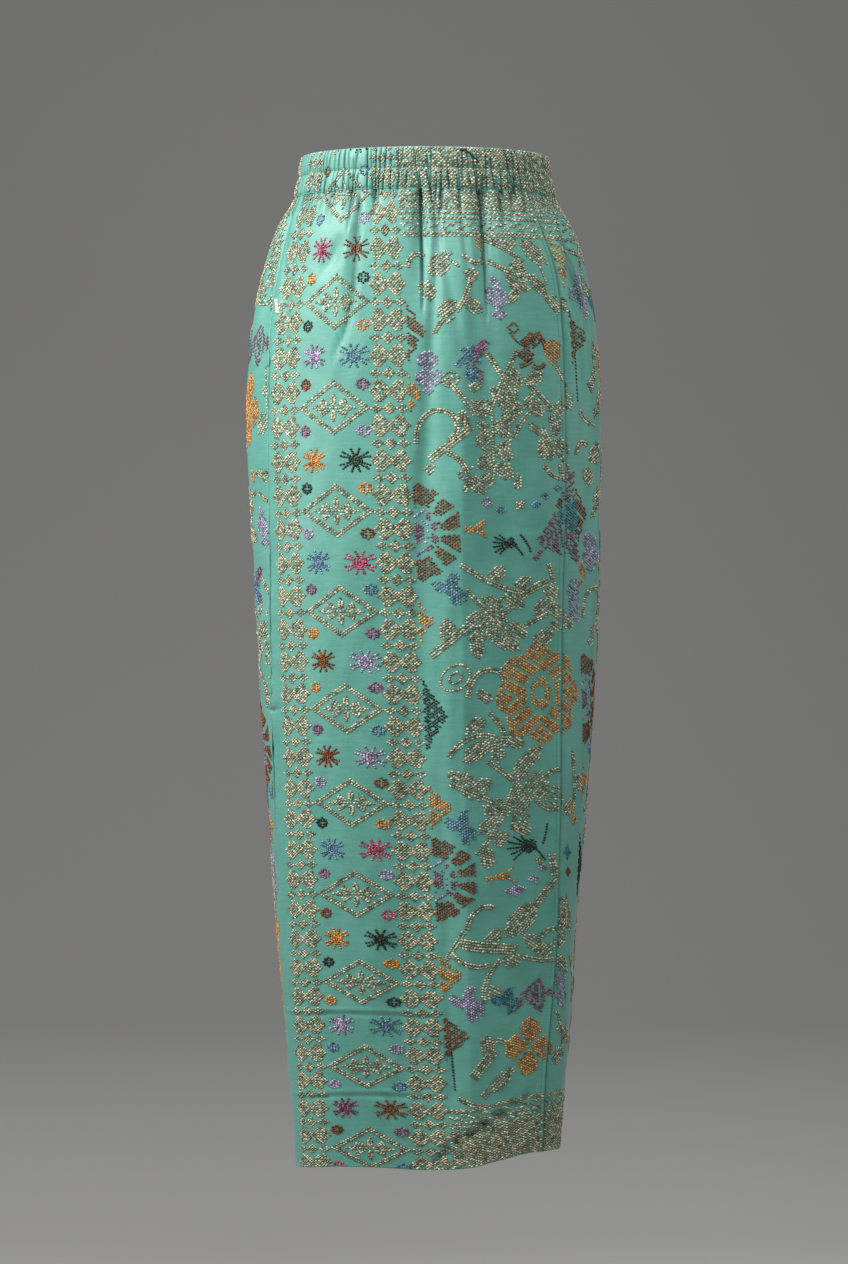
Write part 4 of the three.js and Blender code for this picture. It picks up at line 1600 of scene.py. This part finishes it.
def tube_parts(lines, radius, pinch=0.35):
    """Closed tubes along short runs of points. lines is (count, points, 3); the ends are drawn in."""
    lines = np.asarray(lines, float)
    count, stops = lines.shape[:2]
    ways = np.gradient(lines, axis=1)
    ways /= np.linalg.norm(ways, axis=2, keepdims=True)
    side = np.cross(ways, np.where(np.abs(ways[..., 2:3]) > 0.9, (1.0, 0, 0), (0, 0, 1.0)))
    side /= np.linalg.norm(side, axis=2, keepdims=True)
    top = np.cross(side, ways)
    turn = np.arange(STITCH_SIDES) * 2 * np.pi / STITCH_SIDES
    thick = np.full(stops, radius)
    thick[[0, -1]] *= pinch
    circle = side[:, :, None] * np.cos(turn)[:, None] + top[:, :, None] * np.sin(turn)[:, None]
    points = lines[:, :, None] + circle * thick[None, :, None, None]
    base = np.arange(count)[:, None] * stops * STITCH_SIDES
    s, k = np.meshgrid(np.arange(stops - 1), np.arange(STITCH_SIDES), indexing="ij")
    n = (k + 1) % STITCH_SIDES
    a, b = s * STITCH_SIDES + k, s * STITCH_SIDES + n
    quads = np.stack((a, b, b + STITCH_SIDES, a + STITCH_SIDES), -1).reshape(-1, 4)
    caps = np.stack((np.arange(STITCH_SIDES)[::-1], (stops - 1) * STITCH_SIDES + np.arange(STITCH_SIDES)))
    starts = base[:, :, None]
    faces = [(starts + quads[None]).reshape(-1, 4), (starts + caps[None]).reshape(-1, STITCH_SIDES)]
    return points.reshape(-1, 3), faces


def join_parts(parts):
    """Several lots of points and faces as one."""
    points, quads, caps, start = [], [], [], 0
    for part_points, (part_quads, part_caps) in parts:
        points.append(part_points)
        quads.append(part_quads + start)
        caps.append(part_caps + start)
        start += len(part_points)
    return np.concatenate(points), [np.concatenate(quads), np.concatenate(caps)]


def stitch_run(cloth, rows, columns, lift):
    """Running stitches along a line of fractional rows and columns, as runs of four points."""
    place, out = cloth.spot(np.asarray(rows, float), np.asarray(columns, float))[:2]
    steps = np.concatenate(([0], np.cumsum(np.linalg.norm(np.diff(place, axis=0), axis=1))))
    pitch = sizes().stitch_length * 1.16
    starts = np.arange(0, steps[-1] - pitch, pitch)
    shares = np.array((0, 0.28, 0.72, 1)) * sizes().stitch_length
    lifts = np.array((-0.25, 1, 1, -0.25)) * lift
    at = starts[:, None] + shares
    lines = np.stack([np.interp(at, steps, place[:, i]) for i in range(3)], -1)
    ways = np.stack([np.interp(at, steps, out[:, i]) for i in range(3)], -1)
    return lines + ways * lifts[None, :, None]


def stitched_lines():
    """All the machine stitching that shows: two lines in the casing and the edge of the tuck."""
    runs = []
    band = band_cloth()
    columns = np.arange(0, band.rounds.shape[1] + 0.01, 0.5)
    for level in STITCH_LEVELS:
        row = np.interp(-level, -band.levels, np.arange(len(band.levels)))
        runs.append(stitch_run(band, np.full(len(columns), row), columns, CASING_STITCH_LIFT))
    front = front_cloth()
    levels = np.arange(front.levels[0], front.levels[-1], -1.5)
    tuck = read_chart(LINES, "tuck", levels)
    runs.append(stitch_run(front, *front.find(tuck - TUCK_STITCH, levels), TUCK_STITCH_LIFT))
    return [tube_parts(run, SEWING_RADIUS) for run in runs]


def loose_line(cloth, rounds, levels, lift):
    """Points that lie on a cloth, lifted off it."""
    place, out = cloth.spot(*cloth.find(rounds, levels))[:2]
    return place + out * np.asarray(lift)[:, None]


def mend_lines():
    """Short pale stitches side by side, which darn a small patch beside the side seam."""
    lines = []
    for level in np.arange(MEND_TOP, MEND_TOP - MEND_TALL, -MEND_PITCH):
        rounds = MEND_ROUND + MEND_SLANT * (MEND_TOP - level) + MEND_POINTS
        lines.append(loose_line(front_cloth(), rounds, np.full(len(rounds), level), MEND_LIFTS))
    return lines


def stray_line():
    """A dark thread end that lies across the casing."""
    share = np.linspace(0, 1, 12)
    rounds = STRAY_ROUND + STRAY_REACH * share
    levels = STRAY_LEVEL - 7 * share + 1.6 * np.sin(share * 5) - 3 * share**3
    return loose_line(band_cloth(), rounds, levels, 0.0007 + 0.0009 * np.sin(np.pi * share))


# ---- materials ----


def set_inputs(node, **values):
    """Sets inputs of a node by name, with an underscore for each space."""
    for name, value in values.items():
        node.inputs[name.replace("_", " ")].default_value = value


class Nodes:
    """Adds and joins the nodes of one tree."""

    def __init__(self, tree):
        self.tree, self.x = tree, 0
        tree.nodes.clear()

    def add(self, kind, **values):
        node = self.tree.nodes.new(kind)
        node.location = (self.x, 0)
        self.x += 180
        for name, value in values.items():
            setattr(node, name, value)
        return node

    def join(self, source, target):
        self.tree.links.new(source, target)

    def put(self, socket, value):
        """Joins an output to a socket, or sets the socket to a value."""
        if isinstance(value, bpy.types.NodeSocket):
            self.join(value, socket)
        elif hasattr(value, "__len__") and len(value) == 3 and len(socket.default_value) == 4:
            socket.default_value = (*value, 1)
        else:
            socket.default_value = value

    def math(self, operation, *inputs, clamp=False):
        node = self.add("ShaderNodeMath", operation=operation, use_clamp=clamp)
        for socket, value in zip(node.inputs, inputs):
            self.put(socket, value)
        return node.outputs[0]

    def weigh(self, first, share, second, rest):
        """Two values, each times its share, added."""
        return self.math("ADD", self.math("MULTIPLY", first, share), self.math("MULTIPLY", second, rest))

    def stretch(self, place, scale):
        node = self.add("ShaderNodeMapping")
        self.put(node.inputs["Vector"], place)
        node.inputs["Scale"].default_value = scale
        return node.outputs[0]

    def noise(self, place, scale, detail=2.0, roughness=0.5):
        node = self.add("ShaderNodeTexNoise")
        self.put(node.inputs["Vector"], place)
        set_inputs(node, Scale=scale, Detail=detail, Roughness=roughness)
        return node.outputs["Fac"]

    def mix(self, share, first, second, blend="MIX"):
        node = self.add("ShaderNodeMix", data_type="RGBA", blend_type=blend)
        self.put(node.inputs["Factor"], share)
        self.put(node.inputs[6], first)
        self.put(node.inputs[7], second)
        return node.outputs[2]

    def ramp(self, value, low, high):
        node = self.add("ShaderNodeMapRange")
        self.put(node.inputs["Value"], value)
        set_inputs(node, From_Min=low, From_Max=high)
        return node.outputs["Result"]


# What both node groups give.
THREAD_OUTPUTS = (
    ("Colour", "NodeSocketColor"), ("Roughness", "NodeSocketFloat"), ("Height", "NodeSocketFloat"),
)


def shader_group(name, inputs, outputs):
    """A new node group with named inputs and outputs, and its group input and output nodes."""
    tree = bpy.data.node_groups.new(name, "ShaderNodeTree")
    for label, kind, default in inputs:
        socket = tree.interface.new_socket(label, in_out="INPUT", socket_type=kind)
        if default is not None:
            socket.default_value = default
    for label, kind in outputs:
        tree.interface.new_socket(label, in_out="OUTPUT", socket_type=kind)
    nodes = Nodes(tree)
    return tree, nodes, nodes.add("NodeGroupInput").outputs, nodes.add("NodeGroupOutput").inputs


def weave_group():
    """The ground weave: slubs along the weft, fine warp lines and slow changes in the dye."""
    if "Plain weave" in bpy.data.node_groups:
        return bpy.data.node_groups["Plain weave"]
    tree, nodes, given, out = shader_group(
        "Plain weave",
        (("Place", "NodeSocketVector", None), ("Ground", "NodeSocketColor", (0.2, 0.6, 0.5, 1)),
         ("Deep ground", "NodeSocketColor", (0.15, 0.5, 0.4, 1)), ("Slub", "NodeSocketFloat", 1.0)),
        THREAD_OUTPUTS,
    )
    place = given["Place"]
    cloud = nodes.noise(place, 14, 3, 0.6)
    slub = nodes.noise(nodes.stretch(place, (60, 1500, 1)), 1, 2)
    warp = nodes.noise(nodes.stretch(place, (1500, 50, 1)), 1, 2)
    fine = nodes.noise(nodes.stretch(place, (2600, 2600, 1)), 1, 1)
    tone = nodes.weigh(slub, 0.55, warp, 0.45)
    streak = nodes.noise(nodes.stretch(place, (45, 480, 1)), 1, 3)
    tone = nodes.weigh(tone, 0.6, streak, 0.4)
    off_middle = nodes.math("SUBTRACT", tone, 0.5)
    uneven = nodes.math("MULTIPLY", off_middle, nodes.math("MULTIPLY", given["Slub"], 3.2))
    share = nodes.math("ADD", nodes.ramp(cloud, 0.2, 0.8), uneven, clamp=True)
    nodes.put(out["Colour"], nodes.mix(share, given["Deep ground"], given["Ground"]))
    nodes.put(out["Roughness"], nodes.math("ADD", 0.42, nodes.math("MULTIPLY", tone, 0.14)))
    crumple = nodes.noise(place, 62, 3, 0.55)
    height = nodes.weigh(tone, given["Slub"], fine, 0.5)
    nodes.put(out["Height"], nodes.math("ADD", height, nodes.math("MULTIPLY", crumple, 5)))
    return tree


def twist_group():
    """A thread's twist: fine slanting strands that lighten and darken its colour."""
    if "Thread twist" in bpy.data.node_groups:
        return bpy.data.node_groups["Thread twist"]
    tree, nodes, given, out = shader_group(
        "Thread twist",
        (("Place", "NodeSocketVector", None), ("Thread", "NodeSocketColor", (0.8, 0.7, 0.4, 1)),
         ("Strength", "NodeSocketFloat", 0.3), ("Softness", "NodeSocketFloat", 0.4)),
        THREAD_OUTPUTS,
    )
    wave = nodes.add("ShaderNodeTexWave", wave_type="BANDS", bands_direction="DIAGONAL")
    nodes.put(wave.inputs["Vector"], given["Place"])
    set_inputs(wave, Scale=620, Distortion=1.6)
    speck = nodes.noise(given["Place"], 900, 2)
    tone = nodes.weigh(wave.outputs["Fac"], 0.6, speck, 0.4)
    dark = nodes.mix(1.0, given["Thread"], (0.42, 0.38, 0.34), "MULTIPLY")
    lift = nodes.math("MULTIPLY", nodes.math("SUBTRACT", 1.0, tone), given["Strength"], clamp=True)
    nodes.put(out["Colour"], nodes.mix(lift, given["Thread"], dark))
    nodes.put(out["Roughness"], nodes.math("ADD", given["Softness"], nodes.math("MULTIPLY", tone, 0.12)))
    nodes.put(out["Height"], tone)
    return tree


def new_material(name):
    material = bpy.data.materials.new(name)
    material.use_nodes = True
    nodes = Nodes(material.node_tree)
    shader = nodes.add("ShaderNodeBsdfPrincipled")
    output = nodes.add("ShaderNodeOutputMaterial")
    nodes.join(shader.outputs["BSDF"], output.inputs["Surface"])
    return material, nodes, shader


def attribute(nodes, name):
    return nodes.add("ShaderNodeAttribute", attribute_name=name, attribute_type="GEOMETRY")


def add_bump(nodes, shader, height, distance, strength):
    bump = nodes.add("ShaderNodeBump")
    set_inputs(bump, Distance=distance, Strength=strength)
    nodes.join(height, bump.inputs["Height"])
    nodes.join(bump.outputs["Normal"], shader.inputs["Normal"])


# The ground is times this colour where its shade attribute is 1: painted shade in the slits, in the gathers,
# along the tuck and on the cloth's inner face.
PAINTED_SHADE_TONE = (0.03, 0.07, 0.06)


def cloth_material(name, slub, sheen):
    if name in bpy.data.materials:
        return bpy.data.materials[name]
    material, nodes, shader = new_material(name)
    group = nodes.add("ShaderNodeGroup", node_tree=weave_group())
    nodes.put(group.inputs["Place"], attribute(nodes, "weave").outputs["Vector"])
    nodes.put(group.inputs["Ground"], tuple(colours().ground))
    nodes.put(group.inputs["Deep ground"], tuple(colours().shade))
    set_inputs(group, Slub=slub)
    cloth = group.outputs["Colour"]
    # Painted shade: the ground darkens towards the tone above as the shade attribute rises.
    deep = nodes.mix(1.0, cloth, PAINTED_SHADE_TONE, "MULTIPLY")
    nodes.put(shader.inputs["Base Color"], nodes.mix(attribute(nodes, "shade").outputs["Fac"], cloth, deep))
    nodes.join(group.outputs["Roughness"], shader.inputs["Roughness"])
    set_inputs(shader, Sheen_Weight=sheen, Sheen_Roughness=0.4, Specular_IOR_Level=0.65)
    add_bump(nodes, shader, group.outputs["Height"], 0.00018, 0.55)
    return material


def thread_material(name, metallic, softness, strength, colour=None, edge=(0.5, 0.5, 0.5), crest=(0.1, 0.4)):
    if name in bpy.data.materials:
        return bpy.data.materials[name]
    material, nodes, shader = new_material(name)
    group = nodes.add("ShaderNodeGroup", node_tree=twist_group())
    if colour is None:
        nodes.put(group.inputs["Place"], attribute(nodes, "weave").outputs["Vector"])
        thread = attribute(nodes, "thread").outputs["Color"]
        # Painted shade: the float's colour darkens from its crest down to its base.
        top = nodes.ramp(attribute(nodes, "lift").outputs["Fac"], *crest)
        nodes.put(group.inputs["Thread"], nodes.mix(top, nodes.mix(1.0, thread, edge, "MULTIPLY"), thread))
        rough = nodes.math("SUBTRACT", 0.95, nodes.math("MULTIPLY", top, 0.95 - softness))
        nodes.put(group.inputs["Softness"], rough)
    else:
        nodes.put(group.inputs["Place"], nodes.add("ShaderNodeTexCoord").outputs["Object"])
        nodes.put(group.inputs["Thread"], colour)
        set_inputs(group, Softness=softness)
    set_inputs(group, Strength=strength)
    nodes.join(group.outputs["Colour"], shader.inputs["Base Color"])
    nodes.join(group.outputs["Roughness"], shader.inputs["Roughness"])
    set_inputs(shader, Metallic=metallic, Coat_Weight=2 * metallic, Coat_Roughness=0.3)
    add_bump(nodes, shader, group.outputs["Height"], 0.0001, 0.4)
    return material


# ---- operators ----


class SKIRT_OT_front_cloth(bpy.types.Operator):
    """Lays the front panel from the side seam to the edge of the tuck"""

    bl_idname = "skirt.front_cloth"
    bl_label = "Front Panel"

    def execute(self, context):
        material = cloth_material("songket ground", 1.0, 0.18)
        piece = wall_mesh("front_cloth", front_cloth(), sizes().cloth_wall, material, 1, (0.34, 0))
        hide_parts("front_panel")
        return {"FINISHED"}


class SKIRT_OT_back_cloth(bpy.types.Operator):
    """Lays the back panel from under the tuck round to the side seam"""

    bl_idname = "skirt.back_cloth"
    bl_label = "Back Panel"

    def execute(self, context):
        material = cloth_material("songket ground", 1.0, 0.18)
        piece = wall_mesh("back_cloth", back_cloth(), sizes().cloth_wall, material, 0.74, (0.5, 0))
        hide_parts("back_panel")
        return {"FINISHED"}


class SKIRT_OT_waistband(bpy.types.Operator):
    """Folds the gathered casing over its elastic"""

    bl_idname = "skirt.waistband"
    bl_label = "Elastic Casing"

    def execute(self, context):
        material = cloth_material("gathered casing ground", 0.8, 0.12)
        piece = wall_mesh("waistband_cloth", band_cloth(), sizes().band_wall, material, 1, (0, 0.06))
        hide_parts("waistband")
        return {"FINISHED"}


class SKIRT_OT_gold_floats(bpy.types.Operator):
    """Weaves the gold pattern threads on both panels and the casing"""

    bl_idname = "skirt.gold_floats"
    bl_label = "Gold Pattern Threads"

    def execute(self, context):
        material = thread_material("gold pattern thread", 0.12, 0.4, 0.4, edge=GOLD_PAINTED_SHADE, crest=(0.26, 0.44))
        for part in ("front", "back", "band"):
            float_mesh(f"gold_floats_{part}", part, "g", material)
        return {"FINISHED"}


class SKIRT_OT_silk_floats(bpy.types.Operator):
    """Weaves the coloured silk pattern threads on both panels and the casing"""

    bl_idname = "skirt.silk_floats"
    bl_label = "Silk Pattern Threads"

    def execute(self, context):
        material = thread_material("silk pattern thread", 0.0, 0.36, 0.35, edge=SILK_PAINTED_SHADE)
        keys = "".join(THREADS).replace("g", "")
        for part in ("front", "back", "band"):
            float_mesh(f"silk_floats_{part}", part, keys, material)
        return {"FINISHED"}


class SKIRT_OT_stitching(bpy.types.Operator):
    """Sews the casing's two lines and the edge of the tuck"""

    bl_idname = "skirt.stitching"
    bl_label = "Machine Stitching"

    def execute(self, context):
        material = thread_material("sewing thread", 0.0, 0.6, 0.3, tuple(colours().sewing))
        points, faces = join_parts(stitched_lines())
        new_mesh("machine_stitching", points, faces, material)
        return {"FINISHED"}


class SKIRT_OT_loose_threads(bpy.types.Operator):
    """Darns the small patch beside the seam and leaves a thread end on the casing"""

    bl_idname = "skirt.loose_threads"
    bl_label = "Mend And Stray Thread"

    def execute(self, context):
        pale = thread_material("darning thread", 0.0, 0.5, 0.2, tuple(colours().mend))
        dark = thread_material("stray thread", 0.0, 0.7, 0.2, tuple(colours().stray))
        mend = tube_parts(mend_lines(), DARNING_RADIUS, 0.5)
        stray = tube_parts([stray_line()], DARNING_RADIUS, 0.7)
        new_mesh("mend", *mend, pale)
        new_mesh("stray_thread", *stray, dark)
        return {"FINISHED"}


class SKIRT_OT_cloth_sizes(bpy.types.Operator):
    """Does nothing: it states no cut for any sheet of cloth"""

    bl_idname = "skirt.cloth_sizes"
    bl_label = "State The Cut"

    def execute(self, context):
        return {"FINISHED"}


# The paper, in metres: size, how far towards the camera, rise, bend and its parts, and what counts as near.
PAPER_SIZE = (14, 7.5, 1)
PAPER_AHEAD = -1.35
PAPER_RISE = (0, 0.25, 6)
PAPER_BEND = 1.3
PAPER_BEND_PARTS = 24
PAPER_NEAR = 0.01
# Near the floor the paper is this much brighter, over this height.
PAPER_BRIGHTER = 1.6
PAPER_FADE = 0.2
AIR_COLOUR = (0.93, 0.96, 1, 1)
AIR_STRENGTH = 0.115
# Softboxes: name, place, what each points at, width, height, power and colour.
SOFTBOXES = (
    ("key_softbox", (-1.3, -0.8, 1.0), (0, 0, -0.2), 0.8, 0.8, 47, (1, 0.985, 0.97)),
    ("side_softbox", (-0.75, -0.4, -0.22), (-0.1, 0, -0.22), 0.3, 0.3, 1.7, (1, 0.97, 0.97)),
    ("front_softbox", (0.45, -1.3, 1.15), (0, 0, -0.2), 1.2, 0.9, 20, (0.98, 1, 0.99)),
    ("rim_softbox", (1.6, 0.05, 0.1), (0.1, 0, -0.4), 0.4, 1.5, 4.5, (1, 1, 1)),
    ("top_softbox", (0.1, 0.3, 1.7), (0, 0.1, -0.5), 1.2, 0.8, 14, (1, 1, 1)),
)
# The camera: place in metres, sensor height and lens in millimetres, and how far it sees.
CAMERA_PLACE = (0, -3.8, -0.44)
CAMERA_SENSOR = 24
CAMERA_LENS = 74.4
CAMERA_FARTHEST = 50


def area_light(name, place, target, wide, tall, power, colour):
    light = bpy.data.lights.new(name, "AREA")
    light.shape, light.size, light.size_y = "RECTANGLE", wide, tall
    light.energy, light.color = power, colour
    lamp = bpy.data.objects.new(name, light)
    lamp.location = place
    lamp.rotation_euler = (Vector(target) - Vector(place)).to_track_quat("-Z", "Y").to_euler()
    bpy.context.scene.collection.objects.link(lamp)


def studio_paper(floor):
    """The floor and backdrop: one sheet of paper that bends up behind the skirt."""
    bpy.ops.object.select_all(action="DESELECT")
    bpy.ops.mesh.primitive_plane_add(size=1, location=(0, 0, 0))
    sweep = bpy.context.object
    sweep.name = "studio_sweep"
    sweep.data.name = "studio_sweep"
    bpy.ops.object.mode_set(mode="EDIT")
    bpy.ops.transform.resize(value=PAPER_SIZE)
    bpy.ops.transform.translate(value=(0, PAPER_AHEAD, floor))
    bpy.ops.object.mode_set(mode="OBJECT")
    far = max(vertex.co.y for vertex in sweep.data.vertices)
    for vertex in sweep.data.vertices:
        vertex.select = vertex.co.y > far - PAPER_NEAR
    for edge in sweep.data.edges:
        edge.select = all(sweep.data.vertices[i].select for i in edge.vertices)
    for face in sweep.data.polygons:
        face.select = False
    bpy.ops.object.mode_set(mode="EDIT")
    bpy.ops.mesh.select_mode(type="EDGE")
    bpy.ops.mesh.extrude_region_move(TRANSFORM_OT_translate={"value": PAPER_RISE})
    bpy.ops.object.mode_set(mode="OBJECT")

    def at_bend(vertex):
        return abs(vertex.co.y - far) < PAPER_NEAR and vertex.co.z < floor + PAPER_NEAR

    for edge in sweep.data.edges:
        edge.select = all(at_bend(sweep.data.vertices[i]) for i in edge.vertices)
    for face in sweep.data.polygons:
        face.select = False
    bpy.ops.object.mode_set(mode="EDIT")
    bpy.ops.mesh.bevel(offset=PAPER_BEND, segments=PAPER_BEND_PARTS, affect="EDGES")
    bpy.ops.object.mode_set(mode="OBJECT")
    sweep.data.shade_smooth()
    return sweep


def paper_material(floor):
    """Matt paper, brighter near the floor."""
    material, nodes, shader = new_material("backdrop paper")
    place = nodes.add("ShaderNodeTexCoord").outputs["Object"]
    height = nodes.add("ShaderNodeSeparateXYZ")
    nodes.join(place, height.inputs[0])
    rise = nodes.ramp(height.outputs["Z"], floor, floor + PAPER_FADE)
    base = np.array(colours().backdrop)
    nodes.join(nodes.mix(rise, tuple(base * PAPER_BRIGHTER), tuple(base)), shader.inputs["Base Color"])
    set_inputs(shader, Roughness=0.9, Specular_IOR_Level=0.2)
    # The paper's back lets the view through, so that the skirt's back can be looked at too.
    back = nodes.add("ShaderNodeNewGeometry").outputs["Backfacing"]
    seen = nodes.math("MULTIPLY", back, nodes.add("ShaderNodeLightPath").outputs["Is Camera Ray"])
    nodes.join(nodes.math("SUBTRACT", 1.0, seen), shader.inputs["Alpha"])
    return material


def studio_camera(scene):
    camera_data = bpy.data.cameras.new("camera")
    camera_data.sensor_fit = "VERTICAL"
    camera_data.sensor_height = CAMERA_SENSOR
    camera_data.lens = CAMERA_LENS
    camera_data.clip_end = CAMERA_FARTHEST
    camera = bpy.data.objects.new("camera", camera_data)
    camera.location = CAMERA_PLACE
    camera.rotation_euler = (math.radians(90), 0, 0)
    scene.collection.objects.link(camera)
    scene.camera = camera


class SKIRT_OT_stage(bpy.types.Operator):
    """Sets the floor, backdrop, lights and camera of a plain studio"""

    bl_idname = "skirt.stage"
    bl_label = "Studio"

    def execute(self, context):
        scene = context.scene
        floor = -sizes().floor_drop
        sweep = studio_paper(floor)
        sweep.data.materials.append(paper_material(floor))

        world = bpy.data.worlds.new("studio_air")
        scene.world = world
        world.use_nodes = True
        background = world.node_tree.nodes["Background"]
        set_inputs(background, Color=AIR_COLOUR, Strength=AIR_STRENGTH)
        for softbox in SOFTBOXES:
            area_light(*softbox)
        studio_camera(scene)
        scene.view_settings.view_transform = "Standard"
        return {"FINISHED"}


OPERATORS = (
    SKIRT_OT_stage,
    SKIRT_OT_front_cloth,
    SKIRT_OT_back_cloth,
    SKIRT_OT_waistband,
    SKIRT_OT_gold_floats,
    SKIRT_OT_silk_floats,
    SKIRT_OT_stitching,
    SKIRT_OT_loose_threads,
    SKIRT_OT_cloth_sizes,
)


class SKIRT_PT_panel(bpy.types.Panel):
    """Lists the skirt's sizes, colours and steps"""

    bl_idname = "SKIRT_PT_panel"
    bl_label = "Songket Skirt"
    bl_space_type = "VIEW_3D"
    bl_region_type = "UI"
    bl_category = "Skirt"

    def draw(self, context):
        for group in (context.scene.skirt_sizes, context.scene.skirt_colours):
            box = self.layout.box()
            for name in group.__annotations__:
                box.prop(group, name)
        for operator in OPERATORS:
            self.layout.operator(operator.bl_idname)


CLASSES = (SkirtSizes, SkirtColours, *OPERATORS, SKIRT_PT_panel)


def register():
    for cls in CLASSES:
        bpy.utils.register_class(cls)
    bpy.types.Scene.skirt_sizes = bpy.props.PointerProperty(type=SkirtSizes)
    bpy.types.Scene.skirt_colours = bpy.props.PointerProperty(type=SkirtColours)


def unregister():
    del bpy.types.Scene.skirt_colours
    del bpy.types.Scene.skirt_sizes
    for cls in reversed(CLASSES):
        bpy.utils.unregister_class(cls)


def main():
    register()
    for operator in OPERATORS:
        group, name = operator.bl_idname.split(".")
        getattr(getattr(bpy.ops, group), name)()
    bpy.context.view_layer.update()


if __name__ == "__main__":
    main()
